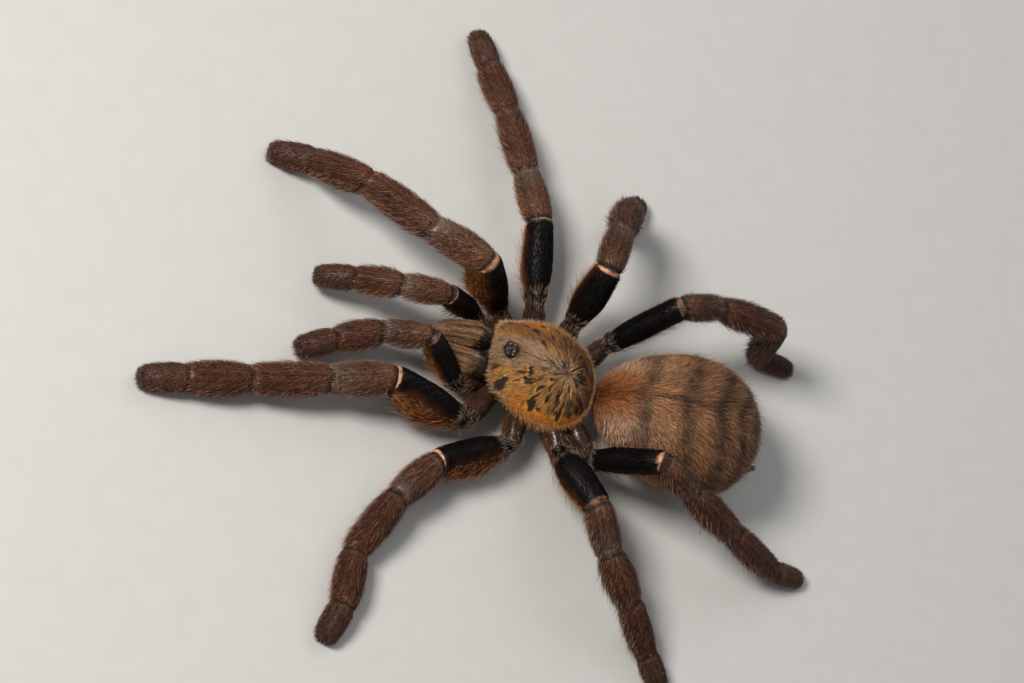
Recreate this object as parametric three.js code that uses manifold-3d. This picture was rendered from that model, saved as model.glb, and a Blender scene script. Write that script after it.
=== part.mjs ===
// A tarantula, life size, standing still on the floor: the body and each segment of each leg as a closed
// solid, out to the tips of its coat of hair.
// Millimetres. +X is the way the head points, +Y the animal's left, +Z up, and the floor is z = 0.
import * as THREE from 'three';
import { mergeVertices } from 'three/addons/utils/BufferGeometryUtils.js';
import Module from 'manifold-3d';

// ---- Driving dimensions -----------------------------------------------------------------------------

const CARAPACE_LENGTH = 21.0;
const CARAPACE_WIDTH = 18.8;
const SHIELD_LEVEL = 8.0; // height of the carapace's side margin above the floor
const SEAM = 0.3; // clear space between neighbouring pieces
const LEG_SIDES = 12;

// Length of each segment, from the body outward, in millimetres.
const SEGMENT_LENGTHS = {
  leg1: [16.2, 10.6, 13.9, 11.2, 8.7],
  leg2: [15.1, 9.7, 12.2, 9.6, 7.7],
  leg3: [13.1, 8.4, 9.5, 10.2, 7.6],
  leg4: [16.4, 9.0, 13.4, 14.5, 8.4],
  palp: [11.8, 7.9, 8.2, 8.0],
};

// Half width, depth above and depth below each limb's axis: where it leaves the body, then at the belly
// and at the far end of each segment in turn. The last entry is the rounded toe. The coat is longest below.
const GIRTHS = {
  leg1: [[2.1, 2.5, 2.5], [2.9, 3.0, 5.0], [2.75, 2.8, 3.5], [2.95, 2.9, 3.1], [2.75, 2.7, 2.9],
    [2.85, 2.8, 3.1], [2.65, 2.6, 2.8], [2.9, 2.5, 2.9], [2.7, 2.3, 2.5], [2.6, 2.2, 2.2], [1.7, 1.3, 1.3]],
  leg2: [[2.0, 2.4, 2.4], [2.8, 2.9, 4.7], [2.6, 2.7, 3.3], [2.75, 2.7, 3.0], [2.55, 2.5, 2.7],
    [2.65, 2.6, 2.9], [2.45, 2.4, 2.5], [2.65, 2.3, 2.5], [2.5, 2.1, 2.3], [2.4, 2.1, 2.1], [1.6, 1.2, 1.2]],
  leg3: [[2.1, 2.5, 2.5], [3.1, 3.2, 3.9], [2.7, 2.8, 3.1], [2.6, 2.6, 2.8], [2.5, 2.5, 2.6],
    [2.85, 2.7, 3.0], [2.5, 2.4, 2.6], [2.4, 2.2, 2.4], [2.2, 2.1, 2.2], [2.2, 2.0, 2.0], [1.5, 1.2, 1.2]],
  leg4: [[2.0, 2.4, 2.4], [2.4, 2.9, 4.1], [2.35, 2.7, 3.1], [2.35, 2.6, 2.8], [2.3, 2.5, 2.6],
    [2.6, 2.8, 3.0], [2.4, 2.5, 2.6], [2.4, 2.3, 2.5], [2.1, 2.1, 2.1], [2.0, 1.9, 1.9], [1.4, 1.1, 1.1]],
  palp: [[1.7, 2.0, 2.0], [2.0, 2.5, 3.0], [2.1, 2.4, 2.5], [2.35, 2.4, 2.5], [2.25, 2.3, 2.3],
    [2.5, 2.4, 2.5], [2.3, 2.2, 2.2], [2.3, 2.1, 2.1], [1.6, 1.3, 1.3]],
};

// How each limb stands: the point where its femur leaves the coxa, then each segment's bearing from
// straight ahead (towards the animal's left) and its slope above the level, in degrees. The near femora
// are rolled a little, so that their fringed undersides face outwards.
const STANCE = {
  leg1_left: {
    hip: [10.9, 12.0, 4.8], bearing: [-3, 16, 17, 18, 16], slope: [15.5, -16, -9.5, -5, -11.5], femurRoll: 40,
  },
  leg1_right: { hip: [8.9, -10.6, 4.6], bearing: [-5, -20, -29, -25, -1], slope: [57, -14, -20, -38, -21] },
  leg2_left: {
    hip: [1.6, 13.4, 4.7], bearing: [32, 56, 66, 91, 76], slope: [4, -4.5, -10, -1, -12], femurRoll: 45,
  },
  leg2_right: { hip: [1.8, -13.9, 4.7], bearing: [-78, -68, -65, -61, -63], slope: [9.5, -9, -7, -10, -9.5] },
  leg3_left: {
    hip: [-7, 11.9, 6], bearing: [124, 124, 139, 139, 135], slope: [28, -11.5, -19, -26, -15.5],
    femurRoll: 10,
  },
  leg3_right: {
    hip: [-5.3, -12.3, 6], bearing: [-91, -99, -112, -158, -112], slope: [58, -3, -29, -66, -13.5],
  },
  leg4_left: {
    hip: [-13.1, 11.1, 5.7], bearing: [164, 171, 170, 175, 193], slope: [61, -27, -24, -28, -22],
    femurRoll: 22,
  },
  leg4_right: {
    hip: [-12.4, -10.8, 6], bearing: [-142, -155, -173, -173, -175], slope: [59, -12, -8, -74, -9.5],
  },
  palp_left: { hip: [13.4, 6.7, 5.0], bearing: [-25, 0, 22, 31], slope: [34, -31, -23, -14] },
  palp_right: { hip: [12.6, -7.6, 5.0], bearing: [13, 6, -4, 4], slope: [41, -8, -34, -34] },
};
const LEG_SEGMENTS = ['femur', 'patella', 'tibia', 'metatarsus', 'tarsus'];
const PALP_SEGMENTS = ['femur', 'patella', 'tibia', 'tarsus'];

const ABDOMEN = { centre: [-26.2, 0.2, 10.3], length: 31, width: 24.8, height: 19.6, pitch: 0.12 };

// ---- Solids -----------------------------------------------------------------------------------------

const wasm = await Module();
wasm.setup();

const vector = (values) => new THREE.Vector3(...values);
const radians = THREE.MathUtils.degToRad;
const ease = (t) => (1 - Math.cos(Math.PI * t)) / 2;
const blend = (a, b, t) => a + (b - a) * t;

// A closed solid from rings of points, each ring running the same way round, with a flat lid on each end.
function loft(rings) {
  const count = rings[0].length;
  const positions = rings.flat().flatMap((point) => [point.x, point.y, point.z]);
  const faces = [];
  for (let ring = 0; ring < rings.length - 1; ring += 1) {
    for (let side = 0; side < count; side += 1) {
      const a = ring * count + side;
      const b = ring * count + ((side + 1) % count);
      faces.push(a, b, b + count, a, b + count, a + count);
    }
  }
  const last = (rings.length - 1) * count;
  for (let side = 1; side < count - 1; side += 1) {
    faces.push(0, side + 1, side);
    faces.push(last, last + side, last + side + 1);
  }
  const geometry = new THREE.BufferGeometry();
  geometry.setAttribute('position', new THREE.Float32BufferAttribute(positions, 3));
  geometry.setIndex(faces);
  return geometry;
}

function toSolid(geometry) {
  const bare = geometry.clone();
  const extras = Object.keys(bare.attributes).filter((name) => name !== 'position');
  extras.forEach((name) => bare.deleteAttribute(name));
  const merged = mergeVertices(bare, 1e-5);
  const mesh = new wasm.Mesh({
    numProp: 3,
    vertProperties: new Float32Array(merged.attributes.position.array),
    triVerts: new Uint32Array(merged.index.array),
  });
  return new wasm.Manifold(mesh);
}

function toGeometry(solid) {
  const mesh = solid.getMesh();
  const geometry = new THREE.BufferGeometry();
  geometry.setAttribute('position', new THREE.BufferAttribute(new Float32Array(mesh.vertProperties), 3));
  geometry.setIndex(new THREE.BufferAttribute(new Uint32Array(mesh.triVerts), 1));
  return geometry;
}

// Everything below the floor, which trims a foot to a small flat.
const FLOOR_BLOCK = toSolid(new THREE.BoxGeometry(300, 300, 20).translate(0, 0, -10));

// An oval ring of points square to a direction, with its own depth above and below its centre. It stands
// upright, or is rolled about the direction by an angle in degrees, its underside towards the left.
function ring(centre, along, [halfWidth, above, below = above], sides = LEG_SIDES, roll = 0) {
  const up = new THREE.Vector3(0, 0, 1).addScaledVector(along, -along.z).normalize();
  up.applyAxisAngle(along, radians(roll));
  const side = new THREE.Vector3().crossVectors(up, along);
  return Array.from({ length: sides }, (_, step) => {
    const turn = (step / sides) * 2 * Math.PI;
    const depth = Math.sin(turn) > 0 ? above : below;
    return centre.clone()
      .addScaledVector(side, halfWidth * Math.cos(turn))
      .addScaledVector(up, depth * Math.sin(turn));
  });
}

// ---- Limbs ------------------------------------------------------------------------------------------

// Where a coxa leaves the underside of the body, on its way out to the hip.
function coxaRoot(hip) {
  return new THREE.Vector3(hip[0] * 0.55, hip[1] * 0.3, 4.9);
}

function limbJoints(limb, lengths) {
  const joints = [vector(limb.hip)];
  const directions = [];
  const coxaDirection = vector(limb.hip).sub(coxaRoot(limb.hip)).normalize();
  lengths.forEach((length, segment) => {
    const bearing = radians(limb.bearing[segment]);
    const slope = radians(limb.slope[segment]);
    const direction = new THREE.Vector3(
      Math.cos(slope) * Math.cos(bearing),
      Math.cos(slope) * Math.sin(bearing),
      Math.sin(slope),
    );
    directions.push(direction);
    joints.push(joints[segment].clone().addScaledVector(direction, length));
  });
  return { joints, directions, coxaDirection };
}

// How far along its own direction a point slides to reach the plane that halves the bend at a joint.
function mitre(point, direction, joint, nextDirection, clearance) {
  const normal = direction.clone().add(nextDirection).normalize();
  const plane = joint.clone().addScaledVector(normal, clearance);
  return plane.sub(point).dot(normal) / direction.dot(normal);
}

// One segment: oval rings from joint to joint, swelling to its belly, its ends cut to the mitre planes.
function segmentSolid({ joints, directions, coxaDirection }, segment, girths, stations, roll, coat) {
  const direction = directions[segment];
  const start = joints[segment];
  const end = joints[segment + 1];
  const length = start.distanceTo(end);
  const [near, belly, far] = [girths[2 * segment], girths[2 * segment + 1], girths[2 * segment + 2]];
  const before = segment === 0 ? coxaDirection : directions[segment - 1];
  const after = directions[Math.min(segment + 1, directions.length - 1)];
  const rings = stations.map(([place, swell]) => {
    const inner = place < 0.5;
    const toEnd = inner ? 1 - 2 * place : 2 * place - 1;
    const size = belly.map((depth, axis) => (
      blend(depth, (inner ? near : far)[axis], ease(toEnd)) * swell + coat
    ));
    const centre = start.clone().addScaledVector(direction, place * length);
    return ring(centre, direction, size, LEG_SIDES, roll).map((point) => {
      const joint = inner ? start : end;
      const beside = inner ? before : after;
      const rest = point.clone().addScaledVector(direction, inner ? -place * length : (1 - place) * length);
      const clearance = (inner ? 1 : -1) * (SEAM / 2 - coat);
      return point.addScaledVector(direction, toEnd * mitre(rest, direction, joint, beside, clearance));
    });
  });
  return toSolid(loft(rings));
}

// Ring places along a segment, each with how much it swells. A femur starts with its short trochanter,
// and the toe is rounded off.
const FEMUR_STATIONS = [[0, 1], [0.09, 1.1], [0.17, 0.94], [0.34, 1], [0.62, 1], [0.86, 1], [1, 0.97]];
const MIDDLE_STATIONS = [[0, 0.97], [0.25, 1.02], [0.75, 1], [1, 0.96]];
const TARSUS_STATIONS = [[0, 0.96], [0.22, 1.02], [0.55, 1], [0.78, 1.08], [0.91, 1.08], [1, 0.86]];

function limbSegment(limb, family, segment, coat = 0) {
  const lengths = SEGMENT_LENGTHS[family];
  let stations = MIDDLE_STATIONS;
  if (segment === 0) stations = FEMUR_STATIONS;
  if (segment === lengths.length - 1) stations = TARSUS_STATIONS;
  const roll = segment === 0 ? limb.femurRoll ?? 0 : 0;
  const solid = segmentSolid(limbJoints(limb, lengths), segment, GIRTHS[family], stations, roll, coat);
  return solid.subtract(FLOOR_BLOCK);
}

// ---- Body -------------------------------------------------------------------------------------------

// Half outline of the shield seen from above, from its rear to its front, as shares of length and width:
// widest behind the middle, with a narrower, square-fronted head.
const OUTLINE = new THREE.CatmullRomCurve3([
  [-0.5, 0], [-0.47, 0.2], [-0.38, 0.36], [-0.24, 0.455], [-0.09, 0.5], [0.06, 0.485],
  [0.2, 0.44], [0.33, 0.38], [0.43, 0.33], [0.49, 0.2], [0.5, 0],
].map(([x, y]) => new THREE.Vector3(x * CARAPACE_LENGTH, y * CARAPACE_WIDTH, 0)), false, 'centripetal');

// Height of the shield's margin above the side margin's level, and of its ridge, along its length.
const PROFILE = new THREE.CatmullRomCurve3([
  [-0.5, 0.4, 0.9], [-0.42, 0.3, 2.4], [-0.3, 0.15, 3.8], [-0.17, 0, 4.2], [-0.02, 0, 5.2],
  [0.14, 0.1, 5.7], [0.28, 0.5, 5.6], [0.4, 1.1, 5.0], [0.47, 1.8, 4.0], [0.5, 2.3, 2.9],
].map(([x, margin, ridge]) => new THREE.Vector3(x * CARAPACE_LENGTH, margin, ridge)), false, 'centripetal');

// The point of a curve that runs from rear to front, at a given place along the body.
function pointAt(curve, x) {
  let low = 0;
  let high = 1;
  for (let halving = 0; halving < 24; halving += 1) {
    const middle = (low + high) / 2;
    if (curve.getPoint(middle).x < x) low = middle;
    else high = middle;
  }
  return curve.getPoint(low);
}

// The outline all the way round, run anticlockwise seen from above.
function outlineRing(steps) {
  const half = Array.from({ length: steps + 1 }, (_, step) => OUTLINE.getPoint(step / steps));
  const right = half.map((point) => new THREE.Vector3(point.x, -point.y, 0));
  const left = half.slice(1, -1).reverse();
  return [...right, ...left];
}

// The shield: a domed plate, its rim level with the tops of the coxae. Rings shrink towards the middle of
// the thorax, and across each section it arches from the margin up to the ridge.
const SHIELD_STEPS = 12;
const SHIELD_RIM = 0.9;
const SHIELD_MIDDLE = -0.06 * CARAPACE_LENGTH;

function shieldPoint(edge, share) {
  const x = blend(SHIELD_MIDDLE, edge.x, share);
  const y = edge.y * share;
  const { y: margin, z: ridge } = pointAt(PROFILE, x);
  const across = share < 1 ? Math.abs(y) / pointAt(OUTLINE, x).y : 1;
  return new THREE.Vector3(x, y, SHIELD_LEVEL + blend(margin, ridge, (1 - across ** 2.4) ** 0.75));
}

function shieldSolid(grow = 0) {
  const edge = outlineRing(SHIELD_STEPS);
  const under = [0.05, 0.6, 0.95].map((share) => edge.map((point) => new THREE.Vector3(
    point.x * share,
    point.y * share,
    SHIELD_LEVEL + share * pointAt(PROFILE, point.x).y - SHIELD_RIM,
  )));
  const top = [1, 0.96, 0.84, 0.66, 0.44, 0.22, 0.05].map((share) => (
    edge.map((point) => shieldPoint(point, share))
  ));
  const spread = new THREE.Matrix4().makeScale(1 + grow / 9, 1 + grow / 9, 1);
  const rings = [...under, ...top].map((points, level) => points.map((point) => (
    point.applyMatrix4(spread).setZ(point.z + (level < under.length ? -grow : grow))
  )));
  return toSolid(loft(rings));
}

// The underside: a sternum block under the shield, and a stout coxa running out to each limb's hip.
function undersideSolid() {
  const edge = outlineRing(8);
  const levels = [[2.8, 0.5], [3.6, 0.66], [5.2, 0.8], [6.6, 0.82]];
  const block = levels.map(([z, share]) => (
    edge.map((point) => new THREE.Vector3(point.x * share - 0.6, point.y * share, z))
  ));
  let solid = toSolid(loft(block));
  Object.entries(STANCE).forEach(([name, limb]) => {
    const family = name.split('_')[0];
    const hip = vector(limb.hip);
    const inner = coxaRoot(limb.hip);
    const { coxaDirection: along, directions: [femur] } = limbJoints(limb, SEGMENT_LENGTHS[family]);
    const rings = [[0, 1], [0.6, 1.14], [1, 0.97]].map(([place, swell]) => {
      const centre = inner.clone().lerp(hip, place);
      return ring(centre, along, GIRTHS[family][0].map((size) => size * swell), 8).map((point) => {
        const rest = point.clone().addScaledVector(along, (1 - place) * inner.distanceTo(hip));
        const slide = Math.max(0, 2 * place - 1) * mitre(rest, along, hip, femur, -SEAM / 2);
        return point.addScaledVector(along, slide);
      });
    });
    solid = solid.add(toSolid(loft(rings)));
  });
  return solid;
}

// A fat tube along a smooth path, with its half width and half height given at each end and the middle.
function taperedTube(points, sizes, steps, sides) {
  const path = new THREE.CatmullRomCurve3(points.map(vector), false, 'centripetal');
  const widths = new THREE.CatmullRomCurve3(sizes.map(([w, h]) => new THREE.Vector3(w, h, 0)));
  const rings = Array.from({ length: steps + 1 }, (_, step) => {
    const place = step / steps;
    const size = widths.getPoint(place);
    return ring(path.getPoint(place), path.getTangent(place), [size.x, size.y], sides);
  });
  return toSolid(loft(rings));
}

// The base of each jaw: from under the front of the shield forward, narrowing on its outer side. Each
// station gives its distance forward, its centre's distance from the midline and height, and its half
// width and half height.
function cheliceraSolid(side, grow = 0) {
  const stations = [
    [10.9, 2.72, 7.4, 2.5, 3.3], [12.2, 2.75, 7.5, 2.6, 3.5], [14.2, 2.6, 7.1, 2.45, 3.35],
    [16.4, 2.3, 6.6, 2.15, 2.9], [18.2, 2.05, 6.0, 1.85, 2.4], [19.4, 1.9, 5.7, 1.35, 1.7],
    [19.9, 1.85, 5.6, 0.7, 0.9],
  ];
  const forward = new THREE.Vector3(1, 0, 0);
  const rings = stations.map(([x, y, z, halfWidth, halfHeight]) => (
    ring(new THREE.Vector3(x, side * y, z), forward, [halfWidth + grow, halfHeight + grow])
  ));
  if (grow > 0) rings.unshift(rings[0].map((point) => point.clone().setX(point.x - grow)));
  return toSolid(loft(rings));
}

function fangSolid(side) {
  const points = [[18.3, 2.0, 2.9], [18.0, 2.0, 2.0], [16.9, 1.9, 1.25], [15.2, 1.75, 1.15], [13.3, 1.6, 1.6]]
    .map(([x, y, z]) => [x, side * y, z]);
  return taperedTube(points, [[0.8, 0.8], [0.8, 0.8], [0.65, 0.65], [0.3, 0.3]], 7, 8);
}

// The low mound that carries the eyes, with the eight eyes standing on it as small beads.
const EYE_MOUND = [0.385 * CARAPACE_LENGTH, 0, SHIELD_LEVEL + 4.9];
const EYES = [[0.55, 0.42, 0.42], [0.55, 1.15, 0.3], [-0.3, 0.62, 0.24], [-0.35, 1.15, 0.24]];

function moundSolid(grow = 0) {
  const mound = new THREE.SphereGeometry(1, 12, 7).scale(1.35 + grow, 1.55 + grow, 1.15 + grow);
  return toSolid(mound.translate(...EYE_MOUND));
}

function eyeMoundSolid() {
  let solid = moundSolid();
  EYES.forEach(([x, y, radius]) => {
    [-1, 1].forEach((side) => {
      const height = 1.15 * Math.sqrt(1 - (x / 1.35) ** 2 - (y / 1.55) ** 2);
      const eye = new THREE.SphereGeometry(radius, 6, 4);
      eye.translate(EYE_MOUND[0] + x, side * y, EYE_MOUND[2] + height * 0.9);
      solid = solid.add(toSolid(eye));
    });
  });
  return solid;
}

// The abdomen: an egg on its side, blunter and higher behind, narrowing to the waist.
const ABDOMEN_RINGS = 13;
const ABDOMEN_SIDES = 20;

function abdomenSolid(grow = 0) {
  const turn = new THREE.Matrix4().makeRotationY(ABDOMEN.pitch);
  const rings = Array.from({ length: ABDOMEN_RINGS }, (_, step) => {
    const angle = blend(0.1, Math.PI - 0.16, step / (ABDOMEN_RINGS - 1));
    const along = -Math.cos(angle);
    const taper = 1 - 0.19 * along;
    const centre = new THREE.Vector3((along * ABDOMEN.length) / 2, 0, 0);
    const reach = Math.sin(angle) * taper;
    const forward = new THREE.Vector3(1, 0, 0);
    const size = [(reach * ABDOMEN.width) / 2 + grow, (reach * ABDOMEN.height) / 2 + grow];
    const oval = ring(centre, forward, size, ABDOMEN_SIDES);
    return oval.map((point) => point.applyMatrix4(turn).add(vector(ABDOMEN.centre)));
  });
  return toSolid(loft(rings));
}

function pedicelSolid() {
  const points = [[-9.35, 0, 5.9], [-10.0, 0.1, 6.0], [-10.9, 0.2, 6.1]];
  return taperedTube(points, [[1.7, 1.2], [1.5, 1.1], [1.7, 1.2]], 3, 10);
}

function spinneretSolid(side) {
  const points = [[-37.0, 1.4, 6.9], [-40.4, 1.6, 5.2], [-43.0, 1.7, 5.2], [-45.2, 1.6, 6.9]]
    .map(([x, y, z]) => [x, ABDOMEN.centre[1] + side * y, z]);
  const tube = taperedTube(points, [[1.3, 1.3], [1.2, 1.2], [0.95, 0.95], [0.45, 0.45]], 7, 8);
  return tube.subtract(abdomenSolid(SEAM));
}

// ---- Assembly ---------------------------------------------------------------------------------------

const FINISHES = {
  leg_black: { color: 0x17110f, roughness: 0.75 },
  leg_brown: { color: 0x3c2720, roughness: 0.8 },
  shield: { color: 0x8a6430, roughness: 0.5 },
  jaw: { color: 0x6e5030, roughness: 0.5 },
  claw: { color: 0x120c0a, roughness: 0.2 },
  eye: { color: 0x0c0a0a, roughness: 0.1 },
  underside: { color: 0x3a241a, roughness: 0.7 },
  abdomen: { color: 0x7c583c, roughness: 0.8 },
};

const spider = new THREE.Group();

function place(name, solid, finish) {
  const material = new THREE.MeshStandardMaterial({ ...FINISHES[finish], metalness: 0 });
  const mesh = new THREE.Mesh(toGeometry(solid), material);
  mesh.name = name;
  spider.add(mesh);
}

Object.entries(STANCE).forEach(([name, limb]) => {
  const family = name.split('_')[0];
  const names = family === 'palp' ? PALP_SEGMENTS : LEG_SEGMENTS;
  names.forEach((segmentName, segment) => {
    const finish = segment === 0 ? 'leg_black' : 'leg_brown';
    place(`${name}_${segmentName}`, limbSegment(limb, family, segment), finish);
  });
});

const SIDES = { left: 1, right: -1 };
let underside = undersideSolid().subtract(shieldSolid(SEAM));
Object.entries(SIDES).forEach(([sideName, side]) => {
  underside = underside.subtract(cheliceraSolid(side, SEAM));
  const palpFemur = limbSegment(STANCE[`palp_${sideName}`], 'palp', 0, SEAM);
  place(`chelicera_${sideName}`, cheliceraSolid(side).subtract(palpFemur), 'jaw');
  place(`fang_${sideName}`, fangSolid(side), 'claw');
  place(`spinneret_${sideName}`, spinneretSolid(side), 'underside');
});
place('carapace', shieldSolid().subtract(moundSolid(SEAM)), 'shield');
place('eye_mound', eyeMoundSolid(), 'eye');
place('underside', underside, 'underside');
place('pedicel', pedicelSolid(), 'underside');
place('abdomen', abdomenSolid(), 'abdomen');

// The origin is the middle of the whole spider's outline, on the floor.
const outline = new THREE.Box3().setFromObject(spider);
spider.position.set(-(outline.min.x + outline.max.x) / 2, -(outline.min.y + outline.max.y) / 2, 0);

const model = new THREE.Group();
model.add(spider);

export default model;
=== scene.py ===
"""A life-size still model of a banded, stout-legged tarantula, standing with its legs spread.

Lengths in the sections are millimetres about the middle of the carapace, with +X towards the head, +Y
towards the animal's left and +Z up from the floor. to_frame() turns them into the frame's metres.
"""
import math
import bpy
import numpy as np
from mathutils import Matrix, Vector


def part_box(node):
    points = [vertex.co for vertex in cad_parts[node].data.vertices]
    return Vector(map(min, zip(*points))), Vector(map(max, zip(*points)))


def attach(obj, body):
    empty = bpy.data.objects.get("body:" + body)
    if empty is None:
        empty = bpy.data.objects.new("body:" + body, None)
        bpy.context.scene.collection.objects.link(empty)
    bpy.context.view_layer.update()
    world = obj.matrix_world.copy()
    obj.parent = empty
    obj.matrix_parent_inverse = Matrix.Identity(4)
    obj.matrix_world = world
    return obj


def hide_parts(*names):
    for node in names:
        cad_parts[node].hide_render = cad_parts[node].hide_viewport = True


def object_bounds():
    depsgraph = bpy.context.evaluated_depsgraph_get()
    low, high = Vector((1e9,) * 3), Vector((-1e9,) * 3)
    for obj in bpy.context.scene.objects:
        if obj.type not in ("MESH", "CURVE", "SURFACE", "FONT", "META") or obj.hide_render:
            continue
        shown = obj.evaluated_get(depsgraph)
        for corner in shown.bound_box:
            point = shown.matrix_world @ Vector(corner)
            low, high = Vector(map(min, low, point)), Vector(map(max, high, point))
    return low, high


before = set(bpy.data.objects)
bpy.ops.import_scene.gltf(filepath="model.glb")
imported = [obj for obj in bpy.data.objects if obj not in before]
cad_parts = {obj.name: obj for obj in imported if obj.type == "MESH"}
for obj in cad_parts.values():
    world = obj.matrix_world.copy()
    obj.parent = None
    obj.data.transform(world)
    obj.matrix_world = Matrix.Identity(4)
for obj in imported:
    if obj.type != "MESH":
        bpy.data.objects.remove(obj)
CAD_BOX = [list(corner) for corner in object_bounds()]

# ---- Camera, floor and light --------------------------------------------------------------------------
# The model stands on a plain pale table under a large soft light, seen from above its left shoulder.
# The carapace's box gives the place of the body's own millimetres in the frame.
MILLIMETRE = 0.001
CARAPACE_BOX = [np.array(corner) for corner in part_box("carapace")]
BODY_PLACE = (CARAPACE_BOX[0] + CARAPACE_BOX[1]) / 2 * (1, 1, 0)
CAMERA_BEARING, CAMERA_HEIGHT, CAMERA_ROLL = (math.radians(angle) for angle in (50.277, 56.615, 55.87))
CAMERA_TARGET, CAMERA_DISTANCE = (0.0, 0.0, 7.98), 620.0
CAMERA_ASIDE, CAMERA_RAISED = -4.62, 5.60
CAMERA_LENS, SENSOR_WIDTH, CLIP_START, CLIP_END = 125.7, 36.0, 0.01, 50.0


def to_frame(points):
    """Body millimetres to frame metres."""
    return np.asarray(points, float) * MILLIMETRE + BODY_PLACE


def unit(vectors):
    """Vectors divided by their lengths."""
    vectors = np.asarray(vectors, float)
    return vectors / np.maximum(np.linalg.norm(vectors, axis=-1, keepdims=True), 1e-9)


def turned_object(name, data, place, right, up, back):
    """An object at a place in body millimetres, its own axes along right, up and back."""
    thing = bpy.data.objects.new(name, data)
    matrix = np.eye(4)
    matrix[:3, 0], matrix[:3, 1], matrix[:3, 2] = right, up, back
    matrix[:3, 3] = to_frame(place)
    thing.matrix_world = Matrix(matrix.tolist())
    bpy.context.scene.collection.objects.link(thing)
    return thing


def make_camera():
    """Back is the way from the body to the camera. Right is level, then rolled, and up is back x right."""
    level = math.cos(CAMERA_HEIGHT)
    ahead, aside = math.cos(CAMERA_BEARING), math.sin(CAMERA_BEARING)
    back = np.array([level * ahead, level * aside, math.sin(CAMERA_HEIGHT)])
    level_right = unit(np.cross((0, 0, 1), back))
    level_up = np.cross(back, level_right)
    right = level_right * math.cos(CAMERA_ROLL) + level_up * math.sin(CAMERA_ROLL)
    up = np.cross(back, right)
    lens = bpy.data.cameras.new("camera")
    lens.lens, lens.sensor_width = CAMERA_LENS, SENSOR_WIDTH
    lens.clip_start, lens.clip_end = CLIP_START, CLIP_END
    place = np.array(CAMERA_TARGET) + CAMERA_ASIDE * right + CAMERA_RAISED * up + CAMERA_DISTANCE * back
    bpy.context.scene.camera = turned_object("camera", lens, place, right, up, back)
    return right, up, back


def soft_light(name, direction, distance, size, watts, colour):
    """A square lamp of a given size, aimed at the body from a distance along a direction."""
    back = unit(direction)
    right = unit(np.cross((0.0, 1.0, 0.1), back))
    lamp = bpy.data.lights.new(name, "AREA")
    lamp.shape, lamp.size, lamp.energy, lamp.color = "SQUARE", size * MILLIMETRE, watts, colour
    turned_object(name, lamp, np.array(CAMERA_TARGET) + back * distance, right, np.cross(back, right), back)


VIEW_RIGHT, VIEW_UP, VIEW_BACK = make_camera()
soft_light("key", VIEW_BACK * 0.85 + VIEW_UP * 0.42 - VIEW_RIGHT * 0.32,
           distance=700, size=200, watts=6.2, colour=(1.0, 0.98, 0.95))
soft_light("fill", (-0.5, -0.9, 0.8), distance=800, size=600, watts=1.6, colour=(0.95, 0.97, 1.0))
# An even pale surround keeps the shadows soft.
surround = bpy.data.worlds.new("surround")
surround.use_nodes = True
surround.node_tree.nodes["Background"].inputs["Color"].default_value = (0.95, 0.97, 1.0, 1)
surround.node_tree.nodes["Background"].inputs["Strength"].default_value = 0.30
bpy.context.scene.world = surround
bpy.context.scene.view_settings.view_transform = "Standard"


def srgb(*levels):
    """Colour levels out of 255, as a screen shows them, to linear light."""
    share = np.asarray(levels, float) / 255
    return np.where(share <= 0.04045, share / 12.92, ((share + 0.055) / 1.055) ** 2.4)


def new_mesh(name, points, triangles, tint=None, patches=None, corners=3):
    """An object at the origin from body points and faces, with a "tint" colour at each point and, where
    patches gives one (u, v) a point, a UV map named OFBake."""
    mesh = bpy.data.meshes.new(name)
    triangles = np.ascontiguousarray(triangles, np.int32)
    mesh.vertices.add(len(points))
    mesh.vertices.foreach_set("co", to_frame(points).astype(np.float32).ravel())
    mesh.loops.add(triangles.size)
    mesh.loops.foreach_set("vertex_index", triangles.ravel())
    mesh.polygons.add(len(triangles))
    mesh.polygons.foreach_set("loop_start", np.arange(len(triangles), dtype=np.int32) * corners)
    mesh.polygons.foreach_set("use_smooth", np.ones(len(triangles), bool))
    mesh.update(calc_edges=True)
    if patches is not None:
        layer = mesh.uv_layers.new(name="OFBake")
        layer.data.foreach_set("uv", patches[triangles.ravel()].astype(np.float32).ravel())
    if tint is not None:
        attribute = mesh.color_attributes.new("tint", "FLOAT_COLOR", "POINT")
        rgba = np.ones((len(points), 4), np.float32)
        rgba[:, :3] = np.clip(tint, 0, 1)
        attribute.data.foreach_set("color", rgba.ravel())
    thing = bpy.data.objects.new(name, mesh)
    bpy.context.scene.collection.objects.link(thing)
    return thing


def new_material(name, roughness, **sockets):
    """A node material with its Principled shader's own sockets set. Returns it with its tree and shader."""
    material = bpy.data.materials.new(name)
    material.use_nodes = True
    tree = material.node_tree
    shader = tree.nodes["Principled BSDF"]
    shader.inputs["Roughness"].default_value = roughness
    for socket, value in sockets.items():
        shader.inputs[socket.replace("_", " ")].default_value = value
    return material, tree, shader


def add_node(tree, kind, **values):
    """A node of a kind with its inputs and properties set by name."""
    node = tree.nodes.new(kind)
    for key, value in values.items():
        if key in node.inputs:
            node.inputs[key].default_value = value
        else:
            setattr(node, key, value)
    return node


def colour_ramp(tree, factor, dark, light):
    """A ramp from a dark to a light colour by the factor socket. Returns its colour socket."""
    ramp = add_node(tree, "ShaderNodeValToRGB")
    ramp.color_ramp.elements[0].color, ramp.color_ramp.elements[1].color = (*dark, 1), (*light, 1)
    tree.links.new(factor, ramp.inputs["Fac"])
    return ramp.outputs["Color"]


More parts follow.
